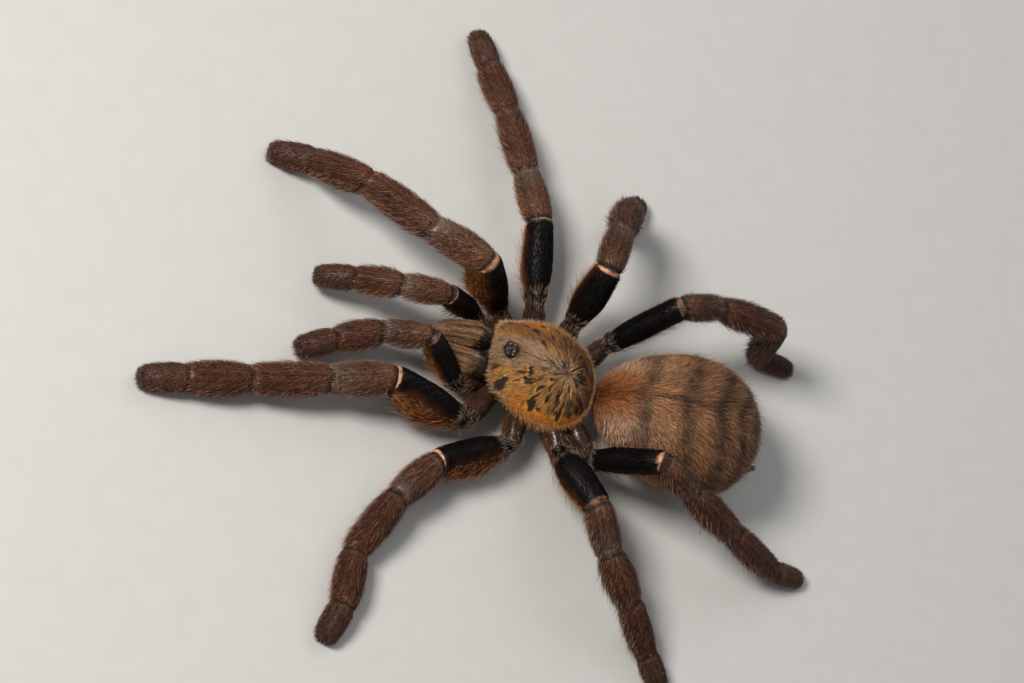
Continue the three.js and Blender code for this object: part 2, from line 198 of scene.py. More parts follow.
def grained_material(name, roughness, scale, detail, dark, light, **sockets):
    """A material that runs from a dark to a light colour by a noise on Object coordinates."""
    material, tree, shader = new_material(name, roughness, **sockets)
    place = add_node(tree, "ShaderNodeTexCoord")
    grain = add_node(tree, "ShaderNodeTexNoise", Scale=scale, Detail=detail)
    tree.links.new(place.outputs["Object"], grain.inputs["Vector"])
    tree.links.new(colour_ramp(tree, grain.outputs["Fac"], dark, light), shader.inputs["Base Color"])
    return material


# The floor is a flat square of pale card with a faint grain.
FLOOR_REACH = 1500.0
FLOOR_CORNERS = np.array([[-1, -1, 0], [1, -1, 0], [1, 1, 0], [-1, 1, 0]]) * FLOOR_REACH
floor = new_mesh("floor", FLOOR_CORNERS, [[0, 1, 2, 3]], corners=4)
floor.data.materials.append(
    grained_material("pale card", 0.8, 220.0, 3.0, dark=(0.47, 0.455, 0.43), light=(0.51, 0.495, 0.47)))

# ---- Skin of the legs and palps -----------------------------------------------------------------------
# Each limb is a chain of hollow horny segments joined by soft membranes: coxa, femur with its short
# trochanter, patella, tibia, metatarsus and tarsus. The palps have no metatarsus. The sizes reach to the
# tips of the coat, and the skin lies inside them by the coat's depth.
LENGTHS = {
    "leg1": [16.2, 10.6, 13.9, 11.2, 8.7], "leg2": [15.1, 9.7, 12.2, 9.6, 7.7],
    "leg3": [13.1, 8.4, 9.5, 10.2, 7.6], "leg4": [16.4, 9.0, 13.4, 14.5, 8.4],
    "palp": [11.8, 7.9, 8.2, 8.0],
}
# Half width, height above and depth below the centre line: at the hip, then at each part's belly and end.
GIRTHS = {
    "leg1": [[2.1, 2.5, 2.5], [2.9, 3.0, 5.0], [2.75, 2.8, 3.5], [2.95, 2.9, 3.1], [2.75, 2.7, 2.9],
             [2.85, 2.8, 3.1], [2.65, 2.6, 2.8], [2.9, 2.5, 2.9], [2.7, 2.3, 2.5], [2.6, 2.2, 2.2],
             [1.7, 1.3, 1.3]],
    "leg2": [[2.0, 2.4, 2.4], [2.8, 2.9, 4.7], [2.6, 2.7, 3.3], [2.75, 2.7, 3.0], [2.55, 2.5, 2.7],
             [2.65, 2.6, 2.9], [2.45, 2.4, 2.5], [2.65, 2.3, 2.5], [2.5, 2.1, 2.3], [2.4, 2.1, 2.1],
             [1.6, 1.2, 1.2]],
    "leg3": [[2.1, 2.5, 2.5], [3.1, 3.2, 3.9], [2.7, 2.8, 3.1], [2.6, 2.6, 2.8], [2.5, 2.5, 2.6],
             [2.85, 2.7, 3.0], [2.5, 2.4, 2.6], [2.4, 2.2, 2.4], [2.2, 2.1, 2.2], [2.2, 2.0, 2.0],
             [1.5, 1.2, 1.2]],
    "leg4": [[2.0, 2.4, 2.4], [2.4, 2.9, 4.1], [2.35, 2.7, 3.1], [2.35, 2.6, 2.8], [2.3, 2.5, 2.6],
             [2.6, 2.8, 3.0], [2.4, 2.5, 2.6], [2.4, 2.3, 2.5], [2.1, 2.1, 2.1], [2.0, 1.9, 1.9],
             [1.4, 1.1, 1.1]],
    "palp": [[1.7, 2.0, 2.0], [2.0, 2.5, 3.0], [2.1, 2.4, 2.5], [2.35, 2.4, 2.5], [2.25, 2.3, 2.3],
             [2.5, 2.4, 2.5], [2.3, 2.2, 2.2], [2.3, 2.1, 2.1], [1.6, 1.3, 1.3]],
}
# Where each hip is, and which way each segment runs: its bearing from straight ahead, positive to the left,
# and its slope. A femur's underside is rolled outwards by an angle.
STANCE = {
    "leg1_left": ([10.9, 12.0, 4.8], [-3, 16, 17, 18, 16], [15.5, -16, -9.5, -5, -11.5], 40),
    "leg1_right": ([8.9, -10.6, 4.6], [-5, -20, -29, -25, -1], [57, -14, -20, -38, -21], 0),
    "leg2_left": ([1.6, 13.4, 4.7], [32, 56, 66, 91, 76], [4, -4.5, -10, -1, -12], 45),
    "leg2_right": ([1.8, -13.9, 4.7], [-78, -68, -65, -61, -63], [9.5, -9, -7, -10, -9.5], 0),
    "leg3_left": ([-7, 11.9, 6], [124, 124, 139, 139, 135], [28, -11.5, -19, -26, -15.5], 10),
    "leg3_right": ([-5.3, -12.3, 6], [-91, -99, -112, -158, -112], [58, -3, -29, -66, -13.5], 0),
    "leg4_left": ([-13.1, 11.1, 5.7], [164, 171, 170, 175, 193], [61, -27, -24, -28, -22], 22),
    "leg4_right": ([-12.4, -10.8, 6], [-142, -155, -173, -173, -175], [59, -12, -8, -74, -9.5], 0),
    "palp_left": ([13.4, 6.7, 5.0], [-25, 0, 22, 31], [34, -31, -23, -14], 0),
    "palp_right": ([12.6, -7.6, 5.0], [13, 6, -4, 4], [41, -8, -34, -34], 0),
}
COXA, FEMUR, PATELLA, TIBIA, METATARSUS, TARSUS = range(6)
COXA_SWELL = [[0, 1], [0.6, 1.14], [1, 0.97]]
FEMUR_SWELL = [[0, 1], [0.09, 1.1], [0.17, 0.94], [0.34, 1], [0.62, 1], [0.86, 1], [1, 0.97]]
MIDDLE_SWELL = [[0, 0.97], [0.25, 1.02], [0.75, 1], [1, 0.96]]
TARSUS_SWELL = [[0, 0.96], [0.22, 1.02], [0.55, 1], [0.78, 1.08], [0.91, 1.08], [1, 0.86]]
# How deep the coat lies over each kind of segment, above and below.
COAT_ABOVE = [0.3, 0.25, 0.34, 0.38, 0.36, 0.30]
COAT_BELOW = [0.4, 0.9, 0.6, 0.62, 0.5, 0.32]
PATH_STEP, CORNER_EASE, CORNER_REACH = 0.2, 0.9, 2.8
TOE_ROUND, TOE_INSET, FLOOR_CLEARANCE = 1.3, 0.3, 0.12


def ease(share):
    """0 to 1 with a level start and end, clipped outside."""
    return (1 - np.cos(np.pi * np.clip(share, 0, 1))) / 2


def bell(distance, width):
    """1 at distance 0, falling away as a bell curve."""
    return np.exp(-(distance / width) ** 2)


def swung(ways, axis, angle):
    """Ways turned by angles about axes square to them: way * cos(angle) + (axis x way) * sin(angle)."""
    return ways * np.cos(angle)[:, None] + np.cross(axis, ways) * np.sin(angle)[:, None]


def part_of(marks, s):
    """Which part each distance s falls in, and its place along that part from 0 to 1."""
    part = np.clip(np.searchsorted(marks, s, side="right") - 1, 0, len(marks) - 2)
    return part, (s - marks[part]) / (marks[part + 1] - marks[part])


def limb_size(family, part, place):
    """Half width, above and below at places along one part, from its belly to its ends, times its swell."""
    girths = np.array(GIRTHS[family])
    last = len(LENGTHS[family])
    if part == COXA:
        table, size = COXA_SWELL, np.repeat(girths[:1], len(place), 0)
    else:
        near, belly, far = girths[2 * part - 2:2 * part + 1]
        end = np.where(place[:, None] < 0.5, near, far)
        size = belly + (end - belly) * ease(np.abs(2 * place - 1))[:, None]
        table = FEMUR_SWELL if part == FEMUR else TARSUS_SWELL if part == last else MIDDLE_SWELL
    return size * np.interp(place, *np.array(table).T)[:, None]


def make_limb(name):
    """A limb's centre line and moving frame, every PATH_STEP mm. The centre is the chain of straight
    segments with its corners eased. The direction is the chord of the chain over CORNER_REACH each way.
    Up is the vertical made square to it, rolled in the femur, and side is up x direction."""
    hip, bearings, slopes, roll = STANCE[name]
    family = name.split("_")[0]
    bearings, slopes = np.radians(bearings), np.radians(slopes)
    level = np.cos(slopes)
    ways = np.stack([level * np.cos(bearings), level * np.sin(bearings), np.sin(slopes)], 1)
    root = np.array([hip[0] * 0.55, hip[1] * 0.3, 4.9])
    joints = np.vstack([root, hip, hip + np.cumsum(ways * np.array(LENGTHS[family])[:, None], 0)])
    marks = np.concatenate([[0], np.cumsum(np.linalg.norm(np.diff(joints, axis=0), axis=1))])
    s = np.linspace(0, marks[-1], int(marks[-1] / PATH_STEP) + 1)

    def chain(at):
        """Places on the chain of straight segments at distances along it."""
        return np.stack([np.interp(at, marks, joints[:, axis]) for axis in range(3)], 1)

    centre = (chain(s - CORNER_EASE) + 2 * chain(s) + chain(s + CORNER_EASE)) / 4
    along = unit(chain(s + CORNER_REACH) - chain(s - CORNER_REACH))
    up = unit(np.array([0, 0, 1.0]) - along * along[:, 2:])
    angle = np.radians(roll) * ease((s - marks[1]) / 2.5) * ease((marks[2] + 1 - s) / 3.5)
    up = swung(up, along, angle)
    size = np.zeros((len(s), 3))
    part, place = part_of(marks, s)
    for number in range(len(marks) - 1):
        mine = part == number
        size[mine] = limb_size(family, number, place[mine])
    size = (size + np.roll(size, 1, 0) + np.roll(size, -1, 0)) / 3
    size[0], size[-1] = size[1], size[-2]
    return {"family": family, "marks": marks, "s": s, "centre": centre, "along": along, "up": up,
            "side": np.cross(up, along), "size": size}


def kind_of(limb, part):
    """A part's number as a segment's kind: a palp's last part is its tarsus."""
    return np.where((limb["family"] == "palp") & (part == METATARSUS), TARSUS, part)


def along_limb(limb, key, s):
    """One of the limb's arrays at distances s."""
    return np.stack([np.interp(s, limb["s"], limb[key][:, axis]) for axis in range(3)], 1)


def coat_depth(limb, s, rise):
    """The coat's depth at s, from its depth above to its depth below as rise goes from 1 to -1, eased
    between the middles of the parts."""
    marks = limb["marks"]
    middles = (marks[:-1] + marks[1:]) / 2
    kinds = kind_of(limb, np.arange(len(middles)))
    above = np.interp(s, middles, np.array(COAT_ABOVE)[kinds])
    below = np.interp(s, middles, np.array(COAT_BELOW)[kinds])
    return above + (below - above) * ease(0.35 - 0.9 * rise)


# The rim before each joint and the groove after it: height or depth, place and width.
RIMS, RIM_PLACE, RIM_WIDTH = [0.04, 0.14, 0.05, 0.05, 0.05], -0.30, 0.22
GROOVES, GROOVE_PLACE, GROOVE_WIDTH = [0.35, 0.30, 0.36, 0.36, 0.30], 0.4, 0.55


def joint_relief(limb, s):
    """A low rim before each joint and a soft groove after it, both bell curves of the distance."""
    relief = np.zeros_like(s)
    for mark, rim, groove in zip(limb["marks"][1:-1], RIMS, GROOVES):
        relief += (rim * bell(s - mark - RIM_PLACE, RIM_WIDTH)
                   - groove * bell(s - mark - GROOVE_PLACE, GROOVE_WIDTH))
    return relief


def limb_surface(limb, s, turn):
    """Skin points and outward normals at distance s and turn, where 0 is the side and a quarter turn is up:
    centre + side * width * cos(turn) + up * height * sin(turn), drawn in to a round toe."""
    centre, along, up, side = (along_limb(limb, key, s) for key in ("centre", "along", "up", "side"))
    size = along_limb(limb, "size", s)
    cos, sin = np.cos(turn), np.sin(turn)
    depth = coat_depth(limb, s, sin)
    end = limb["marks"][-1] - TOE_INSET
    cap = np.sqrt(np.maximum(1 - np.clip((s - end + TOE_ROUND) / TOE_ROUND, 0, 1) ** 2, 0))
    root = np.sqrt(np.clip(s / TOE_ROUND, 0, 1))
    wide = (size[:, 0] - depth + joint_relief(limb, s)) * cap * root
    tall = (np.where(sin > 0, size[:, 1], size[:, 2]) - depth + joint_relief(limb, s)) * cap * root
    points = centre + side * (wide * cos)[:, None] + up * (tall * sin)[:, None]
    normals = side * (cos / (wide + 0.3))[:, None] + up * (sin / (tall + 0.3))[:, None]
    toeward = np.clip((s - end + TOE_ROUND) / TOE_ROUND, 0, 1) ** 2
    normals = unit(unit(normals) * (1 - toeward)[:, None] + along * toeward[:, None])
    points[:, 2] = np.maximum(points[:, 2], FLOOR_CLEARANCE)
    return points, normals


def tube_triangles(rows, columns):
    """Triangles of a tube whose rows are rings of columns points and whose two ends are closed by a point
    each, the last two points of the list. Rings run anticlockwise seen from the far end."""
    row, column = np.meshgrid(np.arange(rows - 1), np.arange(columns), indexing="ij")
    a = (row * columns + column).ravel()
    b = (row * columns + (column + 1) % columns).ravel()
    c, d = b + columns, a + columns
    ring = np.arange(columns)
    start, end = rows * columns, rows * columns + 1
    first = np.stack([np.full(columns, start), (ring + 1) % columns, ring], 1)
    last = (rows - 1) * columns + np.stack([ring, (ring + 1) % columns, ring], 1)
    last[:, 2] = end
    return np.vstack([np.stack([a, b, c], 1), np.stack([a, c, d], 1), first, last])


def ring_grid(levels, columns):
    """Every level with every turn of a ring of columns points, as two flat lists."""
    level, turn = np.meshgrid(levels, np.arange(columns) * 2 * np.pi / columns, indexing="ij")
    return level.ravel(), turn.ravel()


LIMBS = {name: make_limb(name) for name in STANCE}
LIMB_COLUMNS, LIMB_ROW, TOE_ROWS = 36, 0.5, 9
# Distances from each joint at which the skin has rows of its own, and the reach that they take up.
JOINT_ROWS = np.array([-1.1, -0.7, -0.45, -0.26, -0.17, -0.08, 0.0, 0.1, 0.25, 0.45, 0.7, 1.0])
JOINT_REACH = 1.3


def limb_tube(limb):
    """The limb's whole skin as one closed tube, its rows closer together at the joints and at the toe."""
    end = limb["marks"][-1] - TOE_INSET
    joints = limb["marks"][1:-1]
    body = np.linspace(0.1, end - TOE_ROUND, int(end / LIMB_ROW))
    body = body[np.abs(body[:, None] - joints).min(1) > JOINT_REACH]
    near = (joints[:, None] + JOINT_ROWS).ravel()
    body = np.sort(np.concatenate([body, near[near < end - TOE_ROUND - 0.1]]))
    toe = end - TOE_ROUND * (1 - np.sin(np.linspace(0, np.pi / 2, TOE_ROWS)[1:-1]))
    rows = np.concatenate([body, toe])
    s, turn = ring_grid(rows, LIMB_COLUMNS)
    points, _ = limb_surface(limb, s, -turn)
    tips = along_limb(limb, "centre", np.array([0.0, end]))
    return np.vstack([points, tips]), tube_triangles(len(rows), LIMB_COLUMNS)

# ---- Colours of the legs and palps --------------------------------------------------------------------
# Femora are velvet black above and golden brown at the sides. A pale ring of bare membrane ends them. The
# other segments are red-brown with fine dark lines and a painted grey sheen. Skin and coat take the same
# colours.


def noise(points, scale, seed=0):
    """Smooth noise from -1 to 1: a hashed value at each corner of a cubic lattice, eased in between."""
    place = np.asarray(points, float) * scale + 1000.0
    cell = np.floor(place).astype(np.int64)
    share = place - cell
    share = share * share * (3 - 2 * share)
    total = np.zeros(len(place))
    for corner in range(8):
        step = np.array([corner & 1, corner >> 1 & 1, corner >> 2 & 1])
        spot = (cell + step).astype(np.uint32)
        mixed = spot[:, 0] * np.uint32(73856093) ^ spot[:, 1] * np.uint32(19349663)
        mixed = mixed ^ spot[:, 2] * np.uint32(83492791) ^ np.uint32(seed * 2654435 + 1013)
        mixed = (mixed ^ mixed >> np.uint32(13)) * np.uint32(1274126177)
        value = (mixed ^ mixed >> np.uint32(16)) / 2147483648.0 - 1
        total += value * np.prod(np.where(step, share, 1 - share), 1)
    return total


def mix(colour, other, share):
    """One colour, or one at each point, moved towards another by a share at each point."""
    share = np.clip(np.asarray(share, float), 0, 1)[..., None]
    return colour + (other - colour) * share


# By kind of part: coxa, femur, patella, tibia, metatarsus, tarsus.
ABOVE_TINT = srgb(*[[50, 32, 22], [7, 4, 3], [112, 72, 49], [107, 64, 42], [101, 58, 37], [84, 51, 35]])
SIDE_TINT = srgb(*[[92, 54, 28], [94, 50, 18], [110, 64, 38], [104, 57, 32], [98, 53, 30], [92, 54, 36]])
BELOW_TINT = srgb(*[[62, 38, 24], [138, 80, 32], [86, 51, 32], [82, 48, 30], [76, 45, 30], [108, 72, 56]])
DARK_TINT, GREY_TINT = srgb(28, 17, 12), srgb(112, 98, 90)
PALE_TINT, CREAM_TINT, MEMBRANE_TINT = srgb(222, 156, 114), srgb(190, 142, 108), srgb(150, 136, 126)

# Dark lines along every part past the knee: each one's place to the side, 0 on top, and its strength.
DARK_LINES, DARK_LINE_WIDTH = [[0.42, 0.7], [0.0, 0.6], [0.8, 0.5], [0.2, 0.2]], 0.07


def limb_tint(limb, s, turn, points):
    """The colour at distance s and turn: the kind of part's colours blended from above to below by
    sin(turn), then dark lines, a painted grey sheen before the second joint, dark joints, the pale ring at
    the knee and membranes at the hip, pale spots at the ends, and clumps of lighter and darker."""
    part, place = part_of(limb["marks"], s)
    kind = kind_of(limb, part)
    rise, aside = np.sin(turn), np.cos(turn)
    in_femur, past_knee, above = kind == FEMUR, kind > FEMUR, rise > 0
    from_start, to_end = s - limb["marks"][part], s - limb["marks"][part + 1]
    black_edge = ease((rise + 0.45 + 0.25 * noise(points, 0.5, 3)) / 1.05)
    tint = mix(SIDE_TINT[kind], ABOVE_TINT[kind], np.where(in_femur, black_edge, ease((rise + 0.1) / 0.8)))
    tint = mix(tint, BELOW_TINT[kind], ease(-1.3 * rise - 0.1))
    drawn = past_knee * np.where(kind == TARSUS, 0.6, 1.0)
    for line, depth in DARK_LINES:
        off = np.abs(np.abs(aside) - line)
        tint = mix(tint, DARK_TINT, depth * bell(off, DARK_LINE_WIDTH) * drawn * above * ease(6 * place))
    # Painted sheen: grey laid over the upper side near the patella's end and the tibia's start.
    painted_sheen = bell(place - 0.88, 0.26) * (kind == PATELLA) + 0.35 * bell(place, 0.12) * (kind == TIBIA)
    tint = mix(tint, GREY_TINT, 0.55 * painted_sheen * ease(rise + 0.6) * (0.8 + 0.4 * noise(points, 0.7, 4)))
    tint = mix(tint, DARK_TINT, 0.9 * bell(from_start - 0.1, 0.5) * past_knee)
    ragged = np.clip(0.62 + 0.75 * noise(points, 1.6, 8), 0, 1)
    tint = mix(tint, PALE_TINT, ragged * bell(to_end + 0.10, 0.085) * in_femur * ease(rise * 2 + 1.4))
    rings = bell(from_start - 0.2, 0.22) + 0.6 * bell(from_start - 1.9, 0.2)
    membrane = rings * in_femur * ease(rise + 0.7)
    tint = mix(tint, MEMBRANE_TINT, 0.7 * membrane * ragged)
    toe_spot = bell(to_end + 0.2, 0.25) * bell(aside, 0.35)
    tint = mix(tint, CREAM_TINT, 0.5 * toe_spot * (kind == METATARSUS) * above)
    spot = bell(to_end + 0.3, 0.4) * bell(np.abs(aside) - 0.55, 0.18) * above
    tint = mix(tint, CREAM_TINT, 0.7 * spot * ((kind == TIBIA) | (kind == PATELLA)))
    shade = 1 + 0.18 * noise(points, 0.35, 5) + 0.18 * noise(points, 1.3, 7)
    return tint * shade[:, None]

# ---- Skin of the abdomen, waist, underside, jaws and spinnerets ---------------------------------------
# The abdomen is a soft egg, blunter and higher behind, joined to the body by a short waist. Under the
# carapace lies the breast plate. The two jaws' bases stand out in front, and the spinnerets behind.
ABDOMEN_CENTRE, ABDOMEN_SIZE, ABDOMEN_PITCH = np.array([-26.2, 0.2, 10.3]), (31.0, 24.8, 19.6), 0.12
ABDOMEN_TAPER, ABDOMEN_COAT = 0.19, 0.6
ABDOMEN_WIDTH, ABDOMEN_HEIGHT = ABDOMEN_SIZE[1:]


def abdomen_surface(angle, turn):
    """Points at angle from the rear tip (0) to the front (pi) and turn about the length: an ellipse of
    sin(angle) shrunk towards the front by the taper, pitched up behind. Normals point away from the axis
    and, near the tips, along it."""
    along = -np.cos(angle)
    reach = np.sin(angle) * (1 - ABDOMEN_TAPER * along)
    long, wide, tall = (np.array(ABDOMEN_SIZE) / 2) - ABDOMEN_COAT
    flat = np.stack([along * long, np.cos(turn) * reach * wide, np.sin(turn) * reach * tall], 1)
    out = np.stack([(along + ABDOMEN_TAPER * (1 - along ** 2)) / long,
                    np.cos(turn) * np.sin(angle) / wide, np.sin(turn) * np.sin(angle) / tall], 1)
    cos, sin = math.cos(ABDOMEN_PITCH), math.sin(ABDOMEN_PITCH)
    pitch = np.array([[cos, 0, -sin], [0, 1, 0], [sin, 0, cos]])
    return flat @ pitch + ABDOMEN_CENTRE, unit(out @ pitch)


ABDOMEN_ROWS, ABDOMEN_COLUMNS = 84, 96


def abdomen_egg():
    """The abdomen's skin as one closed tube from the rear tip to the front."""
    angle, turn = ring_grid(np.linspace(0, np.pi, ABDOMEN_ROWS + 2)[1:-1], ABDOMEN_COLUMNS)
    points, _ = abdomen_surface(angle, turn)
    tips, _ = abdomen_surface(np.array([0, np.pi]), np.zeros(2))
    return np.vstack([points, tips]), tube_triangles(ABDOMEN_ROWS, ABDOMEN_COLUMNS)


def smooth_path(stations, steps):
    """Rows of numbers eased between stations by a Catmull-Rom spline through them."""
    stations = np.array(stations, float)
    padded = np.vstack([2 * stations[0] - stations[1], stations, 2 * stations[-1] - stations[-2]])
    place = np.linspace(0, len(stations) - 1, steps)
    cell = np.minimum(place.astype(int), len(stations) - 2)
    t = (place - cell)[:, None]
    a, b, c, d = (padded[cell + shift] for shift in range(4))
    return (2 * b + (c - a) * t + (2 * a - 5 * b + 4 * c - d) * t ** 2
            + (3 * b - a - 3 * c + d) * t ** 3) / 2


def path_tube(stations, steps, columns, coat=0.0):
    """A closed tube through stations of x, y, z, half width, half height, each ring an ellipse square to
    the path with its up nearest the vertical, drawn in to a round end at both ends."""
    rows = smooth_path(stations, steps)
    centre, size = rows[:, :3], np.maximum(rows[:, 3:5] - coat, 0.05)
    along = unit(np.gradient(centre, axis=0))
    up = unit(np.array([0, 0, 1.0]) - along * along[:, 2:])
    side = np.cross(up, along)
    turn = -np.arange(columns) * 2 * np.pi / columns
    ring = (side[:, None] * (size[:, 0:1] * np.cos(turn))[..., None]
            + up[:, None] * (size[:, 1:2] * np.sin(turn))[..., None])
    points = (centre[:, None] + ring).reshape(-1, 3)
    tips = centre[[0, -1]] + along[[0, -1]] * np.array([[-0.2], [0.2]]) * size[[0, -1], :1]
    return np.vstack([points, tips]), tube_triangles(steps, columns)


# Each station of a jaw's base, a spinneret, the waist and a fang is a distance forward, a distance to the
# left, a height, a half width and a half height. Each level of the breast is a height and a share.
JAW_STATIONS = [[10.0, 2.7, 7.4, 2.2, 3.0], [10.9, 2.72, 7.4, 2.5, 3.3], [12.2, 2.75, 7.5, 2.6, 3.5],
                [14.2, 2.6, 7.1, 2.45, 3.35], [16.4, 2.3, 6.6, 2.15, 2.9], [18.2, 2.05, 6.0, 1.85, 2.4],
                [19.3, 1.9, 5.7, 1.35, 1.7], [19.75, 1.85, 5.6, 0.85, 1.1]]
JAW_COAT, JAW_COLUMNS = 0.3, 56
SPINNERET_STATIONS = [[-37.0, 1.4, 6.9, 1.3, 1.3], [-40.4, 1.6, 5.2, 1.25, 1.25],
                      [-41.6, 1.65, 5.0, 1.0, 1.0], [-43.0, 1.7, 5.2, 0.95, 0.95],
                      [-43.9, 1.68, 5.7, 0.7, 0.7], [-44.9, 1.6, 6.7, 0.45, 0.45]]
SPINNERET_COAT = 0.25
WAIST_STATIONS = [[-8.0, 0, 5.9, 1.6, 1.1], [-9.4, 0, 5.9, 1.5, 1.0], [-10.2, 0.1, 6.0, 1.3, 0.9],
                  [-12.5, 0.2, 6.2, 1.8, 1.4]]
BREAST_LEVELS = [[2.9, 0.30], [3.1, 0.5], [3.7, 0.64], [5.2, 0.78], [6.6, 0.80], [7.4, 0.70]]
CARAPACE_LENGTH, CARAPACE_WIDTH, BREAST_BACK = 21.0, 18.8, 0.6
# Half the carapace's outline from its rear to its front, as shares of its length and width.
OUTLINE = [[-0.5, 0], [-0.47, 0.2], [-0.38, 0.36], [-0.24, 0.455], [-0.09, 0.5], [0.06, 0.485], [0.2, 0.44],
           [0.33, 0.38], [0.43, 0.33], [0.49, 0.2], [0.5, 0]]
HALF_OUTLINE = smooth_path(OUTLINE, 200) * (CARAPACE_LENGTH, CARAPACE_WIDTH)


def outline_ring(columns):
    """Points evenly spaced round the carapace's outline, anticlockwise seen from above."""
    right = HALF_OUTLINE * (1, -1)
    whole = np.vstack([right, HALF_OUTLINE[-2::-1]])
    length = np.concatenate([[0], np.cumsum(np.linalg.norm(np.diff(whole, axis=0), axis=1))])
    at = np.arange(columns) * length[-1] / columns
    return np.stack([np.interp(at, length, whole[:, axis]) for axis in range(2)], 1)


def breast_block():
    """The breast plate and the coxae's bed: the carapace's outline shrunk level by level, closed."""
    edge = outline_ring(64)
    rings = [np.column_stack([edge[:, 0] * share - BREAST_BACK, edge[:, 1] * share, np.full(len(edge), z)])
             for z, share in BREAST_LEVELS]
    tips = [[-BREAST_BACK, 0, BREAST_LEVELS[0][0] - 0.05], [-BREAST_BACK, 0, BREAST_LEVELS[-1][0]]]
    return np.vstack(rings + [tips]), tube_triangles(len(rings), len(edge))


def mirrored(shape, side):
    """A shape made for the left side, or its mirror image with the faces turned to stay outward."""
    points, triangles = shape
    return (points, triangles) if side > 0 else (points * (1, -1, 1), triangles[:, ::-1])


def flesh_shells():
    """Every closed shell that the skin is joined from."""
    shells = [abdomen_egg(), path_tube(WAIST_STATIONS, 14, 24), breast_block()]
    for side in (1, -1):
        shells.append(mirrored(path_tube(JAW_STATIONS, 40, JAW_COLUMNS, JAW_COAT), side))
        shells.append(mirrored(path_tube(SPINNERET_STATIONS, 26, 20, SPINNERET_COAT), side))
    return shells + [limb_tube(limb) for limb in LIMBS.values()]

# ---- Colours of the body ------------------------------------------------------------------------------
# The abdomen is fawn with dark cross bands that grow stronger behind, pinkish at its front sides and
# red-brown beside the waist. The jaws are golden tan with dark stripes along them and a black base.
FAWN_TINT, PINK_TINT, RUSSET_TINT = srgb(196, 143, 98), srgb(224, 178, 144), srgb(84, 32, 13)
GOLDEN_TINT = srgb(178, 100, 36)
BAND_TINT, REAR_TINT = srgb(54, 41, 37), srgb(150, 110, 80)
JAW_TINT, JAW_DARK = srgb(156, 108, 64), srgb(20, 14, 12)
BREAST_TINT, WAIST_TINT, SPINNERET_TINT = srgb(70, 44, 30), srgb(120, 84, 60), srgb(92, 66, 50)
# Each cross band's place along the abdomen from its front, its half width and its strength.
BANDS = [[0.185, 0.042, 0.68], [0.405, 0.055, 0.76], [0.612, 0.044, 0.86], [0.755, 0.030, 0.92],
         [0.88, 0.028, 0.9]]
# Each dark stripe's angle round a jaw, from its outer side up and over, and its width.
JAW_STRIPES = [[0.2, 0.16], [0.62, 0.08], [0.98, 0.09], [1.48, 0.20], [2.02, 0.10], [2.45, 0.16]]
JAW_BLACK_END = 13.2


def abdomen_tint(points):
    """Colours by place along the abdomen, height and side: golden beside the waist's top, a ragged dark
    midline, and ragged cross bands bowed forward in the middle, each a bell curve across its line."""
    offset = points - ABDOMEN_CENTRE
    back = 0.5 - offset[:, 0] / ABDOMEN_SIZE[0]
    aside = np.abs(offset[:, 1]) / (ABDOMEN_WIDTH / 2)
    rise = offset[:, 2] / (ABDOMEN_HEIGHT / 2)
    ragged = 0.014 * noise(points, 0.8, 11) + 0.008 * noise(points, 2.5, 12)
    tint = mix(FAWN_TINT, REAR_TINT, ease((back - 0.35) / 0.6) * 0.9)
    tint = mix(tint, GOLDEN_TINT, 0.8 * ease(1.8 - back / 0.14) * bell(aside, 0.46))
    tint = mix(tint, PINK_TINT, ease(1.3 - back / 0.36) * ease(aside * 3.4 - 0.8))
    tint = mix(tint, RUSSET_TINT, bell(back, 0.085) * bell(aside, 0.34) * ease(rise + 1.2))
    for place, width, strength in BANDS:
        line = back + ragged - place - 0.12 * aside ** 0.7
        shown = strength * bell(line, width) * ease((rise + 0.45) / 0.8)
        tint = mix(tint, BAND_TINT, shown * (0.8 + 0.35 * noise(points, 0.5, 13)))
    midline = bell(offset[:, 1] - 0.2 * noise(points, 0.6, 16), 0.42)
    midline = midline * ease((back - 0.16) * 12) * ease((0.66 - back) * 12)
    tint = mix(tint, BAND_TINT, 0.6 * midline * (rise > 0))
    tint = mix(tint, BREAST_TINT, 0.5 * ease(-1.6 * rise - 0.4))
    return tint * (1 + 0.12 * noise(points, 0.4, 14) + 0.12 * noise(points, 1.7, 15))[:, None]


def jaw_tint(points):
    """Stripes along the jaw by the angle round it, over golden tan, with a black band at the base."""
    rows = smooth_path(JAW_STATIONS, 60)
    middle, height, wide, tall = (np.interp(points[:, 0], rows[:, 0], rows[:, column])
                                  for column in (1, 2, 3, 4))
    angle = np.arctan2((points[:, 2] - height) / tall, (np.abs(points[:, 1]) - middle) / wide)
    stripes = np.zeros(len(points))
    for place, width in JAW_STRIPES:
        stripes = np.maximum(stripes, bell(angle - place + 0.03 * noise(points, 0.8, 21), width))
    x = points[:, 0]
    tint = mix(JAW_TINT, JAW_DARK, 0.9 * stripes * ease((17.5 - x) / 2 + 1))
    streaks = ease(noise(points * (0.5, 2, 2), 1.0, 24) - 0.1)
    tint = mix(tint, GREY_TINT, 0.5 * streaks + 0.3 * ease((x - 16) / 3))
    tint = mix(tint, JAW_DARK, 0.95 * ease((JAW_BLACK_END + 0.5 * noise(points, 0.9, 22) - x) / 0.7))
    tint = mix(tint, BREAST_TINT, ease(-angle * 1.5 - 0.2))
    return tint * (1 + 0.12 * noise(points, 1.1, 23))[:, None]

# ---- The joined skin ----------------------------------------------------------------------------------
# One thin brown hide with no seam from toe to toe, polished where it is bare and dull beneath the coat. It
# stands for every part of flesh.
FLESH_NODES = [f"{name}_{part}" for name in STANCE
               for part in ("femur", "patella", "tibia", "metatarsus", "tarsus")
               if not (name.startswith("palp") and part == "metatarsus")]
FLESH_NODES += ["underside", "pedicel", "abdomen"]
FLESH_NODES += [f"{part}_{side}" for part in ("chelicera", "spinneret") for side in ("left", "right")]


